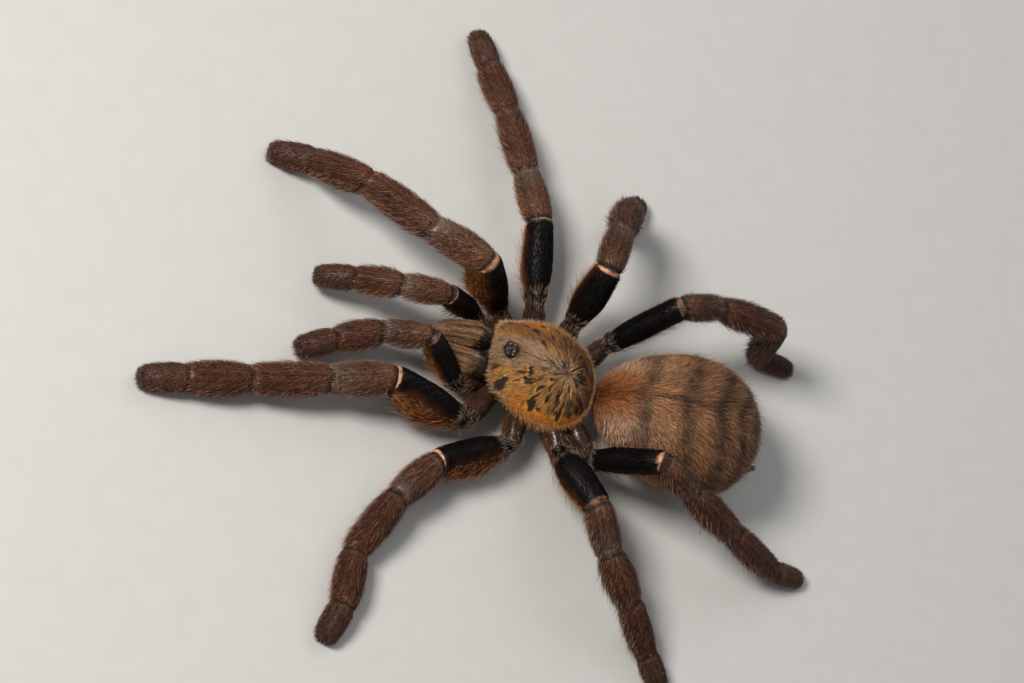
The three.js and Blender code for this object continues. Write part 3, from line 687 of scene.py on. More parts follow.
# A limb colours the skin out to LIMB_GIRTHS of its own half girth, and lies within LIMB_REACH of its centre
# line. Bare skin reaches this far past a hip, and the abdomen's half sizes have a little room round them.
LIMB_GIRTHS, LIMB_REACH, BARE_PAST_HIP, POINTS_AT_ONCE = 1.35, 5, 2.2, 3000
ABDOMEN_HALVES = (15.6, 12.6, 10.0)


def flesh_tint(points):
    """Four numbers for any place on the skin. Three are its colour: the nearest limb's own, measured as
    distance from its centre line over its girth there, or the abdomen's, jaws', spinnerets', waist's or
    breast's. The fourth is how bare the skin is, 0 to 1."""
    best = np.full(len(points), LIMB_GIRTHS)
    bare = np.zeros(len(points))
    tint = BREAST_TINT * (1 + 0.15 * noise(points, 0.9, 31))[:, None]
    for limb in LIMBS.values():
        low, high = limb["centre"].min(0) - LIMB_REACH, limb["centre"].max(0) + LIMB_REACH
        near = np.flatnonzero(((points > low) & (points < high)).all(1))
        for chunk in np.array_split(near, max(1, len(near) // POINTS_AT_ONCE)):
            offset = points[chunk, None] - limb["centre"][None]
            reach = np.linalg.norm(offset, axis=2) / limb["size"].mean(1)
            nearest = reach.argmin(1)
            row = np.arange(len(chunk))
            closer = reach[row, nearest] < best[chunk]
            chosen, nearest, row = chunk[closer], nearest[closer], row[closer]
            best[chosen] = reach[row, nearest]
            off = offset[row, nearest]
            size = limb["size"][nearest]
            aside = (off * limb["side"][nearest]).sum(1) / size[:, 0]
            rise = (off * limb["up"][nearest]).sum(1) / size[:, 1]
            tint[chosen] = limb_tint(limb, limb["s"][nearest], np.arctan2(rise, aside), points[chosen])
            bare[chosen] = ease((limb["marks"][FEMUR] + BARE_PAST_HIP - limb["s"][nearest]) / 0.6)
    x, y, z = points.T
    behind = (x < -10.5) & (np.linalg.norm((points - ABDOMEN_CENTRE) / ABDOMEN_HALVES, axis=1) < 1.06)
    tint[behind] = abdomen_tint(points[behind])
    waist = (x < -8.6) & (x > -11.5) & (np.abs(y) < 1.9) & (np.abs(z - 6) < 1.5)
    tint[waist] = WAIST_TINT
    tails = (x < -38.5) & (z < 7.6) & (np.abs(np.abs(y - 0.2) - 1.6) < 1.5) & ~behind
    tint[tails] = SPINNERET_TINT
    jaws = (x > 10.2) & (np.abs(y) < 5.4) & (z > 3.2) & (best > 1.0)
    tint[jaws] = jaw_tint(points[jaws])
    bare[behind], bare[jaws] = 0, ease((JAW_BLACK_END - x[jaws]) / 0.5)
    return np.column_stack([tint, bare])


def joined_skin():
    """Unites the shells into one closed mesh, then colours it by place."""
    shells = [new_mesh(f"shell_{number}", *shell) for number, shell in enumerate(flesh_shells())]
    group = bpy.data.collections.new("shells")
    for shell in shells[1:]:
        group.objects.link(shell)
    union = shells[0].modifiers.new("union", "BOOLEAN")
    union.operation, union.solver = "UNION", "MANIFOLD"
    union.operand_type, union.collection = "COLLECTION", group
    depsgraph = bpy.context.evaluated_depsgraph_get()
    mesh = bpy.data.meshes.new_from_object(shells[0].evaluated_get(depsgraph))
    for shell in shells:
        bpy.data.objects.remove(shell)
    bpy.data.collections.remove(group)
    places = np.zeros(len(mesh.vertices) * 3, np.float32)
    mesh.vertices.foreach_get("co", places)
    points = (places.reshape(-1, 3) - BODY_PLACE) / MILLIMETRE
    attribute = mesh.color_attributes.new("tint", "FLOAT_COLOR", "POINT")
    attribute.data.foreach_set("color", np.clip(flesh_tint(points), 0, 1).astype(np.float32).ravel())
    mesh.polygons.foreach_set("use_smooth", np.ones(len(mesh.polygons), bool))
    skin = bpy.data.objects.new("skin", mesh)
    bpy.context.scene.collection.objects.link(skin)
    return skin


def make_mottle_group():
    """Small lighter and darker specks over a colour, and a grain height to go with them."""
    group = bpy.data.node_groups.new("mottle", "ShaderNodeTree")
    for way, socket, kind in (("INPUT", "Color", "Color"), ("INPUT", "Scale", "Float"),
                              ("INPUT", "Amount", "Float"), ("OUTPUT", "Color", "Color"),
                              ("OUTPUT", "Height", "Float")):
        group.interface.new_socket(socket, in_out=way, socket_type=f"NodeSocket{kind}")
    entry, leave = add_node(group, "NodeGroupInput"), add_node(group, "NodeGroupOutput")
    place = add_node(group, "ShaderNodeTexCoord")
    grain = add_node(group, "ShaderNodeTexNoise", Detail=4.0, Roughness=0.6)
    signed = add_node(group, "ShaderNodeMath", operation="SUBTRACT")
    signed.inputs[1].default_value = 0.5
    scaled = add_node(group, "ShaderNodeMath", operation="MULTIPLY_ADD")
    scaled.inputs[2].default_value = 1.0
    shade = add_node(group, "ShaderNodeVectorMath", operation="SCALE")
    for source, target in (
            (place.outputs["Object"], grain.inputs["Vector"]),
            (entry.outputs["Scale"], grain.inputs["Scale"]),
            (grain.outputs["Fac"], signed.inputs[0]), (signed.outputs[0], scaled.inputs[0]),
            (entry.outputs["Amount"], scaled.inputs[1]), (entry.outputs["Color"], shade.inputs[0]),
            (scaled.outputs[0], shade.inputs["Scale"]), (shade.outputs[0], leave.inputs["Color"]),
            (grain.outputs["Fac"], leave.inputs["Height"])):
        group.links.new(source, target)
    return group


MOTTLE = make_mottle_group()


def tinted_material(name, roughness, scale, amount, bump, **sockets):
    """A material that takes its colour from "tint", mottled, with the same grain as a bump in metres."""
    material, tree, shader = new_material(name, roughness, **sockets)
    tint = add_node(tree, "ShaderNodeVertexColor", layer_name="tint")
    mottle = add_node(tree, "ShaderNodeGroup", node_tree=MOTTLE)
    mottle.inputs["Scale"].default_value, mottle.inputs["Amount"].default_value = scale, amount
    tree.links.new(tint.outputs["Color"], mottle.inputs["Color"])
    tree.links.new(mottle.outputs["Color"], shader.inputs["Base Color"])
    if bump:
        relief = add_node(tree, "ShaderNodeBump", Distance=bump, Strength=0.8)
        tree.links.new(mottle.outputs["Height"], relief.inputs["Height"])
        tree.links.new(relief.outputs["Normal"], shader.inputs["Normal"])
    return material


# The tint's alpha, how bare the skin is, brings the hide's roughness from dull down to polished.
skin = joined_skin()
skin.data.materials.clear()
HIDE = tinted_material("hide", 0.5, 2600.0, 0.5, 0.00008, Specular_IOR_Level=0.32)
bareness = add_node(HIDE.node_tree, "ShaderNodeVertexColor", layer_name="tint")
polish = add_node(HIDE.node_tree, "ShaderNodeMapRange")
polish.inputs["To Min"].default_value, polish.inputs["To Max"].default_value = 0.5, 0.2
HIDE.node_tree.links.new(bareness.outputs["Alpha"], polish.inputs["Value"])
HIDE.node_tree.links.new(polish.outputs["Result"],
                         HIDE.node_tree.nodes["Principled BSDF"].inputs["Roughness"])
skin.data.materials.append(HIDE)
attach(skin, "root")
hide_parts(*FLESH_NODES)

# ---- The coat of the legs and palps -------------------------------------------------------------------
# Every limb has a short dense undercoat lying flat towards the toe, longer hairs over it that curve back to
# the skin, and long pale bristles that stand out below and at the sides. Each hair is a closed solid.
RANDOM = np.random.default_rng(41)
# A hair's root sinks this far into the skin, and no hair comes nearer to the floor than the clearance. Each
# hair has a patch of its own on the unwrap, which spans the share UNWRAP_SHARE inside a margin.
ROOT_SINK, HAIR_CLEARANCE, PATCH, UNWRAP_SHARE, UNWRAP_MARGIN = 0.06, 0.05, 0.0015, 0.98, 0.01
PLASTIC_NUMBER = 1.32471795724
SPIKE = {
    "faces": np.array([[0, 1, 3], [1, 2, 3], [2, 0, 3], [2, 1, 0]]),
    "rise": np.array([0, 0, 0, 1.0]),
    "patch": PATCH * np.array([[-1, -1], [0, -1.2], [1, -1], [0, 1]]),
}
LOCK = {
    "faces": np.array([[0, 2, 1], [0, 3, 2], [0, 1, 3], [1, 2, 4], [2, 3, 4], [3, 1, 4]]),
    "rise": np.array([0, 0.45, 0.45, 0.45, 1.0]),
    "patch": PATCH * np.array([[0, -1], [-1, -0.2], [0.1, 0.2], [1, -0.2], [0, 1]]),
}


def even_spread(count):
    """count pairs in the unit square: steps of 1 / p and 1 / p^2, p the plastic number, from a random
    start, then jittered by up to 0.35 / sqrt(count)."""
    steps = np.arange(count)[:, None] + 0.5
    pairs = (RANDOM.random() + steps / np.array([PLASTIC_NUMBER, PLASTIC_NUMBER ** 2])) % 1
    return (pairs + RANDOM.uniform(-0.35, 0.35, pairs.shape) / math.sqrt(count)) % 1


def hairs(root, normal, flow, length, lift, width, curl, tint, place, form=LOCK):
    """One closed hair at each root. It leaves along flow raised by lift, and in a lock, which is widest
    before its middle, curl bends the outer part back towards the skin. Its cross section is a low ridge
    width across. The tint is darkened towards the root by painted shade and lightened towards the tip by
    painted light, and place is each root's (u, v) on the skin's unwrap."""
    flow = unit(flow - normal * (flow * normal).sum(1, keepdims=True))
    lift, length, width = (np.broadcast_to(value, len(root))[:, None] for value in (lift, length, width))
    first = flow * np.cos(lift) + normal * np.sin(lift)
    second = unit(flow * np.cos(lift - curl) + normal * np.sin(lift - curl))
    across = unit(np.cross(normal, first))
    ridge = np.cross(first, across)
    root = root - normal * ROOT_SINK
    corners = [across * width / 2, ridge * width * 0.45, -across * width / 2]
    if form is LOCK:
        middle = root + first * length * 0.42
        points = [root] + [middle + corner for corner in corners] + [middle + second * length * 0.58]
    else:
        points = [root + corner for corner in corners] + [root + first * length]
    points = np.stack(points, 1)
    points[..., 2] = np.maximum(points[..., 2], HAIR_CLEARANCE)
    # Painted shade at each hair's root and painted light at its tip: the tint runs from 0.30 times to 1.26
    # times.
    root_shade_tip_light = 0.30 + 0.96 * form["rise"][None, :, None] ** 0.85
    return {"form": form, "points": points, "tint": tint[:, None] * root_shade_tip_light,
            "place": place[:, None] + form["patch"][None]}


def coat(name, sets, material, slot):
    """One coat piece joined from sets of hairs, kept inside the CAD model's box."""
    points, faces, tints, places, count = [], [], [], [], 0
    low, high = (np.array(corner) / MILLIMETRE - BODY_PLACE / MILLIMETRE for corner in CAD_BOX)
    for each in sets:
        rows, corners = each["points"].shape[:2]
        starts = count + np.arange(rows)[:, None, None] * corners
        faces.append((starts + each["form"]["faces"]).reshape(-1, 3))
        points.append(each["points"].reshape(-1, 3))
        tints.append(each["tint"].reshape(-1, 3))
        places.append(each["place"].reshape(-1, 2))
        count += rows * corners
    points = np.clip(np.vstack(points), low, high)
    piece = new_mesh(name, points, np.vstack(faces), np.vstack(tints), np.vstack(places))
    piece.data.materials.append(material)
    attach(piece, "root")
    return piece


# Lengths of hair on each kind of part: coxa, femur, patella, tibia, metatarsus, tarsus.
UNDER_LENGTH, OVER_LENGTH = [0.6, 0.9, 1.1, 1.2, 1.1, 0.8], [0.9, 1.3, 1.8, 2.1, 1.9, 1.2]
BRISTLE_LENGTH, HIP_LENGTH, JOINT_LENGTH = [1.0, 1.9, 2.0, 2.4, 2.2, 1.2], 2.1, 0.9
KINDS = len(BRISTLE_LENGTH)
BRISTLE_TINT, HIP_TINT = srgb(196, 156, 128), srgb(200, 164, 132)


# The strip of bare skin at the knee, the reach past the hip where hair is thin, and the hairless toe.
BARE_BEFORE_KNEE, BARE_PAST_KNEE, THIN_PAST_HIP, THIN_SHARE, BARE_TOE = 0.19, 0.02, 2.0, 0.42, 0.5
# A hair follows the skin up to this far ahead of its root, and the toe's roundness is left out of it.
LOOK_AHEAD, ROUND_BEFORE_TOE = 1.0, 2.5
GREY_SHARE = 0.13


def limb_hairs(limb, start, end, count, form, lengths, width, lift, curl, keep=None):
    """A set of hairs spread over a limb between two distances, lying along the slope of the skin ahead of
    them and parted to both sides of the top line. Few grow on the hip, and none on the bare strip at the
    knee. Below a femur they are longer, past a joint they reach a millimetre at most, and before the knee
    and at the toe they stop short."""
    spread = even_spread(count)
    s, turn = start + (end - start) * spread[:, 0], spread[:, 1] * 2 * np.pi
    if keep is not None:
        kept = keep(s, turn)
        s, turn = s[kept], turn[kept]
    hip, knee, toe = (limb["marks"][mark] for mark in (FEMUR, PATELLA, -1))
    shown = ~((s > knee - BARE_BEFORE_KNEE) & (s < knee + BARE_PAST_KNEE)) & (s < toe - BARE_TOE)
    shown &= (s > hip + THIN_PAST_HIP) | (RANDOM.random(len(s)) < THIN_SHARE)
    s, turn = s[shown], turn[shown]
    part, along_part = part_of(limb["marks"], s)
    kind = kind_of(limb, part)
    past_knee, rise, aside = kind > FEMUR, np.sin(turn), np.cos(turn)
    root, normal = limb_surface(limb, s, turn)
    ahead, _ = limb_surface(limb, s + LOOK_AHEAD, turn)
    before_toe = (s < toe - ROUND_BEFORE_TOE)[:, None]
    along = np.where(before_toe, unit(ahead - root), along_limb(limb, "along", s))
    normal = unit(normal - along * (normal * along).sum(1, keepdims=True))
    ends = np.append(limb["marks"][1:-1], toe + 0.9)
    room = ends[part] - s + np.where(kind == FEMUR, -0.10, 1.0) + np.where(part == len(ends) - 1, -1.0, 0)
    random = RANDOM.uniform(0.7, 1.15, len(s))
    arch = np.where(past_knee, 0.72 + 0.4 * np.sin(np.pi * along_part) ** 0.7, 1)
    length = np.array(lengths)[kind] * random * (1 + (0.7 * (kind == FEMUR) + 0.25) * ease(-rise * 1.5))
    length = np.minimum(length * arch, np.maximum(room, 0.35))
    parting = np.sign(aside) * ease(np.abs(aside) / 0.3) * ease(rise + 0.8)
    sway = (0.25 * noise(root, 0.45, 41) + RANDOM.normal(0, 0.12, len(s))
            + np.where(past_knee, 0.36, 0.1) * parting)
    flow = swung(along, normal, sway)
    lifts = lift * RANDOM.uniform(0.6, 1.3, len(s)) * (1 + 0.5 * ease(-rise) + 0.4 * aside ** 4)
    clump = noise(root, 1.1, 43) + noise(root, 2.9, 44)
    tint = limb_tint(limb, s, turn, root) * (1 + 0.24 * clump + RANDOM.normal(0, 0.22, len(s)))[:, None]
    grey = RANDOM.random(len(s)) < GREY_SHARE
    tint[grey] = mix(tint[grey], GREY_TINT * 1.2, np.where(past_knee[grey], 0.5, 0.05))
    low, high = (0, knee) if start < knee - 0.01 else (knee, toe)
    place = np.stack([(s - low) / (high - low), (turn / (2 * np.pi)) % 1], 1) * UNWRAP_SHARE + UNWRAP_MARGIN
    return hairs(root, normal, flow, length, lifts, width, curl, np.maximum(tint, 0.001), place, form)


def bristles(limb, start, end, count, width=0.07):
    """Long pale bristles that stand out below and at the sides, and on a femur only below."""
    def low_side(s, turn):
        """Whether a place lies low enough on its part for a bristle."""
        part, _ = part_of(limb["marks"], s)
        return np.sin(turn) < np.where(part == FEMUR, 0.05, 0.5)
    made = limb_hairs(limb, start, end, count, LOCK, BRISTLE_LENGTH, width, 0.62, 0.45, low_side)
    made["tint"] = mix(made["tint"], BRISTLE_TINT, 0.4)
    return made


def hip_hairs(limb, count):
    """Long silvery hairs over the joint at the hip, standing between the legs' bases."""
    hip = limb["marks"][FEMUR]
    made = limb_hairs(limb, hip - 2.8, hip + 2.4, count, LOCK, [HIP_LENGTH] * KINDS, 0.05, 0.75, 0.4,
                      lambda s, turn: np.sin(turn) > -0.5)
    made["tint"] = mix(made["tint"], HIP_TINT, 0.6)
    return made


VELVET = tinted_material("velvet pile", 0.75, 900.0, 0.25, 0, Specular_IOR_Level=0.08)
LEG_PILE = tinted_material("leg pile", 0.5, 900.0, 0.25, 0, Specular_IOR_Level=0.26)


def coat_limb(name, limb):
    """The limb's two coat pieces: coxa to knee, and knee to toe, the longer with more hairs."""
    hip, knee, toe = (limb["marks"][mark] for mark in (FEMUR, PATELLA, -1))
    share = 0.5 if limb["family"] == "palp" else 1.0
    upper, lower = hip * 0.42, toe - BARE_TOE
    thigh = [
        limb_hairs(limb, upper, knee, int(5000 * share), SPIKE, UNDER_LENGTH, 0.12, 0.18, 0),
        limb_hairs(limb, upper, knee, int(3300 * share), LOCK, OVER_LENGTH, 0.10, 0.34, 0.40),
        bristles(limb, hip + 0.8, knee, int(800 * share)),
        hip_hairs(limb, 420),
    ]
    shin = [
        limb_hairs(limb, knee, lower, int(7200 * share), SPIKE, UNDER_LENGTH, 0.12, 0.22, 0),
        limb_hairs(limb, knee, lower, int(5500 * share), LOCK, OVER_LENGTH, 0.10, 0.42, 0.42),
        bristles(limb, knee, lower, int(1500 * share)),
    ]
    for mark in limb["marks"][PATELLA:-1]:
        shin.append(limb_hairs(limb, mark, mark + 0.9, int(170 * share), SPIKE, [JOINT_LENGTH] * KINDS,
                               0.12, 0.25, 0))
    coat(f"coat_{name}_thigh", thigh, VELVET, "femur_coat")
    coat(f"coat_{name}_shin", shin, LEG_PILE, "leg_coat")


for limb_name, limb_shape in LIMBS.items():
    coat_limb(limb_name, limb_shape)

# ---- The coat of the abdomen --------------------------------------------------------------------------
# Soft fine hair lies backward from the waist, swept out from the midline, and closes over the spinnerets.
# It grows longer behind.
ABDOMEN_PILE = tinted_material("abdomen pile", 0.6, 900.0, 0.25, 0, Specular_IOR_Level=0.3)


ABDOMEN_FRONT, ABDOMEN_LENGTH = ABDOMEN_CENTRE[0] + 15.5, 31


def abdomen_hairs(half, count, form, length, width, lift, curl):
    """A set of hairs over one half of the abdomen, left (0) or right (1). Roots are spread evenly by area,
    as the angle's cosine is. They flow towards the rear tip, sweep out from the midline and sink a little
    at the sides."""
    spread = even_spread(count)
    angle = np.arccos(np.clip(1 - 2 * spread[:, 0], -0.995, 0.995))
    turn = -np.pi / 2 + np.pi * (spread[:, 1] + half)
    root, normal = abdomen_surface(angle, turn)
    ahead, _ = abdomen_surface(angle - 0.02, turn)
    sway = 0.20 * noise(root, 0.35, 51) + RANDOM.normal(0, 0.12, count)
    sway -= 0.55 * np.sign(root[:, 1]) * ease(np.abs(root[:, 1]) / 3.5) * ease(np.sin(turn) + 0.9)
    flow = swung(unit(ahead - root), normal, sway)
    flow[:, 2] -= 0.10 * np.abs(np.cos(turn))
    back = (ABDOMEN_FRONT - root[:, 0]) / ABDOMEN_LENGTH
    lengths = length * RANDOM.uniform(0.7, 1.2, count) * (0.85 + 0.4 * ease(back * 1.4))
    tint = abdomen_tint(root + flow * (0.5 * lengths)[:, None])
    clump = noise(root, 0.9, 53) + noise(root, 2.6, 54)
    tint = tint * (1 + 0.20 * clump + RANDOM.normal(0, 0.24, count))[:, None]
    place = spread * UNWRAP_SHARE + UNWRAP_MARGIN
    lifts = lift * RANDOM.uniform(0.6, 1.4, count)
    return hairs(root, normal, flow, lengths, lifts, width, curl, np.maximum(tint, 0.002), place, form)


for half, side in enumerate(("left", "right")):
    coat(f"coat_abdomen_{side}", [
        abdomen_hairs(half, 11000, SPIKE, 1.6, 0.11, 0.20, 0),
        abdomen_hairs(half, 12000, LOCK, 2.4, 0.09, 0.34, 0.40),
        abdomen_hairs(half, 1600, LOCK, 3.0, 0.06, 0.62, 0.55),
    ], ABDOMEN_PILE, "abdomen_coat")

# ---- The carapace -------------------------------------------------------------------------------------
# A domed horny plate over the head and chest. Furrows run from the pit near its middle, the fovea, to the
# gaps between the legs. Flat golden hair rays out from the fovea and leaves the furrows and flecks bare
# black, and a pale fringe stands round the margin.
SHIELD_LEVEL, PLATE_COAT, PLATE_THICK = 8.0, 0.22, 0.9
# Height of the margin and of the ridge above SHIELD_LEVEL at places along the carapace's length.
PROFILE = smooth_path([[-0.5, 0.4, 0.9], [-0.42, 0.3, 2.4], [-0.3, 0.15, 3.8], [-0.17, 0, 4.2],
                       [-0.02, 0, 5.2], [0.14, 0.1, 5.7], [0.28, 0.5, 5.6], [0.4, 1.1, 5.0],
                       [0.47, 1.8, 4.0], [0.5, 2.3, 2.9]], 120)
FOVEA = np.array([-3.7, 0.0])
FURROWS, FRONT_FURROW_REACH, FURROW_REACH = np.radians([28, 52, 80, 108, 138]), 12.5, 8.2
PLATE_MIDDLE = -0.06 * CARAPACE_LENGTH
EYE_MOUND, EYE_MOUND_SIZE = np.array([8.085, 0, 12.9]), np.array([1.35, 1.55, 1.15])

# Bare black flecks: place, half length along the ray from the fovea and half width.
FLECKS = [[3.9, 2.7, 0.42, 0.95], [4.0, 4.0, 0.85, 0.55], [6.0, 5.0, 1.5, 0.32], [1.4, 3.3, 1.0, 0.25],
          [1.1, 4.7, 0.8, 0.4], [1.4, 6.2, 0.8, 0.22], [-0.9, 6.0, 0.7, 0.35], [-2.9, 5.0, 0.8, 0.45],
          [1.5, 7.3, 0.5, 0.7], [0.0, 7.7, 0.35, 0.7], [-4.0, 7.3, 0.5, 0.65], [-7.8, 5.3, 0.9, 0.35],
          [-7.3, 3.6, 1.1, 0.4], [-0.8, 4.0, 0.8, 0.25], [-6.7, -0.6, 1.3, 0.9], [-5.6, 0.9, 0.9, 0.5],
          [-7.4, -3.0, 0.6, 0.8], [1.2, -8.2, 0.4, 0.9], [-0.7, -8.1, 0.35, 0.9], [3.9, -5.5, 0.7, 0.35],
          [-3.5, -7.9, 0.8, 0.35], [-4.1, -6.6, 0.9, 0.25], [2.6, -3.6, 0.9, 0.22], [5.2, -6.4, 0.6, 0.25],
          [0.4, -5.6, 0.8, 0.22], [-1.5, -5.0, 0.9, 0.2], [-2.7, -1.4, 0.8, 0.35], [-6.2, -4.6, 0.9, 0.25],
          [7.9, 5.9, 1.0, 0.95], [5.4, 3.5, 1.1, 0.26], [8.0, -6.1, 0.45, 0.4], [-1.0, 2.2, 1.0, 0.2],
          [-4.5, 2.8, 0.9, 0.25]]


def plate_share(x, y):
    """How far a place is from the plate's ridge to its margin, 0 to 1 across the body."""
    half = np.interp(x, HALF_OUTLINE[:, 0], HALF_OUTLINE[:, 1])
    return np.clip(np.abs(y) / np.maximum(half, 1e-6), 0, 1)


def flat_noise(x, y, scale, seed):
    """The noise at places seen from above, in the shape that x has."""
    return noise(np.stack([x, y, x * 0], -1).reshape(-1, 3), scale, seed).reshape(np.shape(x))


def furrow_mask(x, y):
    """1 in the fovea and along the furrows, which are wavy rays from it on both sides that widen with
    distance and fade at both ends."""
    wave = 0.32 * flat_noise(x, y, 0.55, 64) + 0.10 * flat_noise(x, y, 1.9, 65)
    wave = wave * ease(np.hypot(x - FOVEA[0], y) / 3)
    dx, dy = x - FOVEA[0] + wave, np.abs(y - FOVEA[1] + wave)
    reach = np.hypot(dx, dy)
    mask = bell(dx, 0.38) * bell(dy, 0.9)
    for angle in FURROWS:
        along = dx * np.cos(angle) + dy * np.sin(angle)
        off = np.abs(dy * np.cos(angle) - dx * np.sin(angle))
        furthest = FRONT_FURROW_REACH if angle == FURROWS[0] else FURROW_REACH
        mask = np.maximum(mask, bell(off, 0.10 + 0.028 * reach) * (along > 0) * ease(reach / 0.8)
                          * ease((furthest - reach) / 3))
    return mask


def plate_height(x, y):
    """The plate's top: from the margin up to the ridge as (1 - share^2.4)^0.75, with furrows pressed in."""
    stations = PROFILE[:, 0] * CARAPACE_LENGTH
    margin, ridge = np.interp(x, stations, PROFILE[:, 1]), np.interp(x, stations, PROFILE[:, 2])
    arch = (1 - plate_share(x, y) ** 2.4) ** 0.75
    pressed = 0.24 * furrow_mask(x, y) - 0.06 * flat_noise(x, y, 0.5, 61)
    return SHIELD_LEVEL + margin + (ridge - margin) * arch - PLATE_COAT - pressed * arch


def plate_point(edge, share):
    """The place at a share of the way from the plate's middle to a point of its edge."""
    x = PLATE_MIDDLE + (edge[..., 0] - PLATE_MIDDLE) * share
    y = edge[..., 1] * share
    return np.stack([x, y, plate_height(x, y)], -1)


def ray_noise(reach, turn, fineness, length, seed):
    """Noise drawn out into rays from the fovea, by the way and the reach of each place."""
    ray = np.stack([8 * np.cos(turn), 8 * np.sin(turn), reach * 0.28], -1).reshape(-1, 3)
    return noise(ray * (fineness, fineness, length), 1.0, seed).reshape(np.shape(reach))


# The black spot behind the left jaw and the dark saddle round the eyes, by place and size.
JAW_SPOT, JAW_SPOT_SIZE = (7.8, 5.8), 1.25
SADDLE_X, SADDLE_SIZE, SADDLE_END = 7.2, (2.2, 2.0), 8.9


def dark_marks(x, y):
    """How bare and black the plate is, 0 to 1: broken rays from the fovea, fewer on the head and on the
    right, the flecks, the furrows, the midline before the fovea, a saddle behind the eyes, their socket,
    the fovea, and a spot behind the left jaw. Only the head has them at the very margin."""
    warp_x, warp_y = (0.30 * flat_noise(x, y, 0.9, seed) + 0.17 * flat_noise(x, y, 2.6, seed + 1)
                      for seed in (56, 58))
    x, y = x + warp_x, y + warp_y
    dx, dy = x - FOVEA[0], y - FOVEA[1]
    reach, turn = np.hypot(dx, dy), np.arctan2(dy, dx)
    rays = ray_noise(reach, turn, 1, 1, 62) + 0.5 * ray_noise(reach, turn, 2.3, 1.6, 63)
    fine = ray_noise(reach, turn, 4.5, 1.8, 60)
    flecked = np.zeros(np.shape(x))
    for fleck_x, fleck_y, long, wide in FLECKS:
        way = unit(np.array([fleck_x, fleck_y]) - FOVEA)
        along = (x - fleck_x) * way[0] + (y - fleck_y) * way[1]
        off = (y - fleck_y) * way[0] - (x - fleck_x) * way[1]
        edge = 1.3 - np.hypot(along / long, off / (1.1 * wide)) + 0.45 * rays + 0.75 * fine
        flecked = np.maximum(flecked, ease(edge / 0.5))
    head = ease((x - 1.0) / 2.5) * ease((3.4 - np.abs(y)) / 1.2)
    rayed = ease((0.7 * rays + 0.95 * fine - 0.12 - 0.3 * ease((reach - 5) / 4)) / 0.35)
    rayed = rayed * (1 - 0.75 * head) * (1 - 0.55 * ease((-y - 1.2) / 2))
    midline = bell(y + 0.06 * rays, 0.13) * ease((x - FOVEA[0]) / 0.6) * ease((7.4 - x) / 1.5)
    saddle = bell(np.hypot((x - SADDLE_X) / SADDLE_SIZE[0], y / SADDLE_SIZE[1]), 1.0) ** 2
    socket = np.hypot((x - EYE_MOUND[0]) / EYE_MOUND_SIZE[0], y / EYE_MOUND_SIZE[1])
    spot = np.hypot(x - JAW_SPOT[0], y - JAW_SPOT[1])
    marks = np.maximum.reduce([
        0.9 * rayed, 0.97 * flecked, 0.85 * midline,
        furrow_mask(x, y) * ease(0.7 + 1.1 * rays + 0.5 * fine),
        0.95 * saddle * ease((SADDLE_END - x) / 0.8), 0.95 * ease((1.08 - socket) / 0.15),
        0.9 * bell(reach, 1.0), 0.97 * ease((JAW_SPOT_SIZE - spot) / 0.5)])
    return np.clip(marks * (1 - 0.7 * ease((plate_share(x, y) - 0.86) / 0.08) * (x < 7)), 0, 1)


GOLD_TINT, HEAD_SHEEN_TINT, ORANGE_TINT = srgb(188, 134, 68), srgb(168, 134, 104), srgb(206, 126, 38)
BROWN_TINT, BLACK_TINT, FRINGE_TINT = srgb(112, 66, 24), srgb(16, 13, 13), srgb(208, 164, 122)


def plate_tint(points, marks=1.0):
    """Gold with a painted grey-tan sheen on the head and round the fovea, richer brown behind and to the
    right, orange towards the side and rear margins, then the dark marks at the strength given."""
    x, y, _ = points.T
    share = plate_share(x, y)
    reach = np.hypot(x - FOVEA[0], y)
    streak = noise(points, 0.6, 66)
    brown = 0.75 * ease((-y - 1.0 + 2 * streak) / 4) + 0.7 * ease((-4.0 - x) / 3)
    tint = mix(GOLD_TINT, BROWN_TINT, np.clip(brown, 0, 0.92))
    # Painted sheen: a grey-tan wash over the head, then a grey one round the fovea.
    tint = mix(tint, HEAD_SHEEN_TINT, 0.85 * ease((3.4 - np.abs(y + 0.2) + streak) / 1.6) * ease((x + 4.0) / 3))
    tint = mix(tint, GREY_TINT * 1.2, 0.5 * bell(reach, 2.6))
    tint = mix(tint, ORANGE_TINT, 0.8 * ease((share - 0.72 + 0.08 * streak) / 0.15) * (x < 5))
    tint = mix(tint, BLACK_TINT, marks * dark_marks(x, y))
    return tint * (1 + 0.14 * noise(points, 1.4, 67) + 0.1 * noise(points, 3.3, 68))[:, None]


PLATE_COLUMNS, PLATE_EDGE = 320, 0.975
PLATE_SHARES = 1 - np.linspace(1, 0, 84)[1:] ** 1.3
# Rings round the rim and under the plate: share of the rim's outline, and drop.
PLATE_UNDER = [[1.008, 0.2], [1.0, 0.5], [0.97, 0.72], [0.6, 0.8], [0.2, 0.8]]


def make_plate():
    """The plate as one closed tube of rings: out over the top, round the rim and in again below."""
    edge = outline_ring(PLATE_COLUMNS) * PLATE_EDGE
    tops = [plate_point(edge, share) for share in PLATE_SHARES]
    under = [tops[-1] * (share, share, 1) - (0, 0, drop) for share, drop in PLATE_UNDER]
    middle = plate_point(np.array([[PLATE_MIDDLE, 0.0]]), 0.0)[0]
    tips = [middle, [PLATE_MIDDLE, 0, SHIELD_LEVEL - PLATE_THICK + 0.1]]
    points = np.vstack(tops + under + [tips])
    faces = tube_triangles(len(tops) + len(under), PLATE_COLUMNS)[:, ::-1]
    return new_mesh("carapace_plate", points, faces, plate_tint(points))


HORN = tinted_material("horn", 0.5, 1500.0, 0.35, 0.00006, Specular_IOR_Level=0.35)
plate = make_plate()
plate.data.materials.append(HORN)
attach(plate, "root")
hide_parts("carapace")


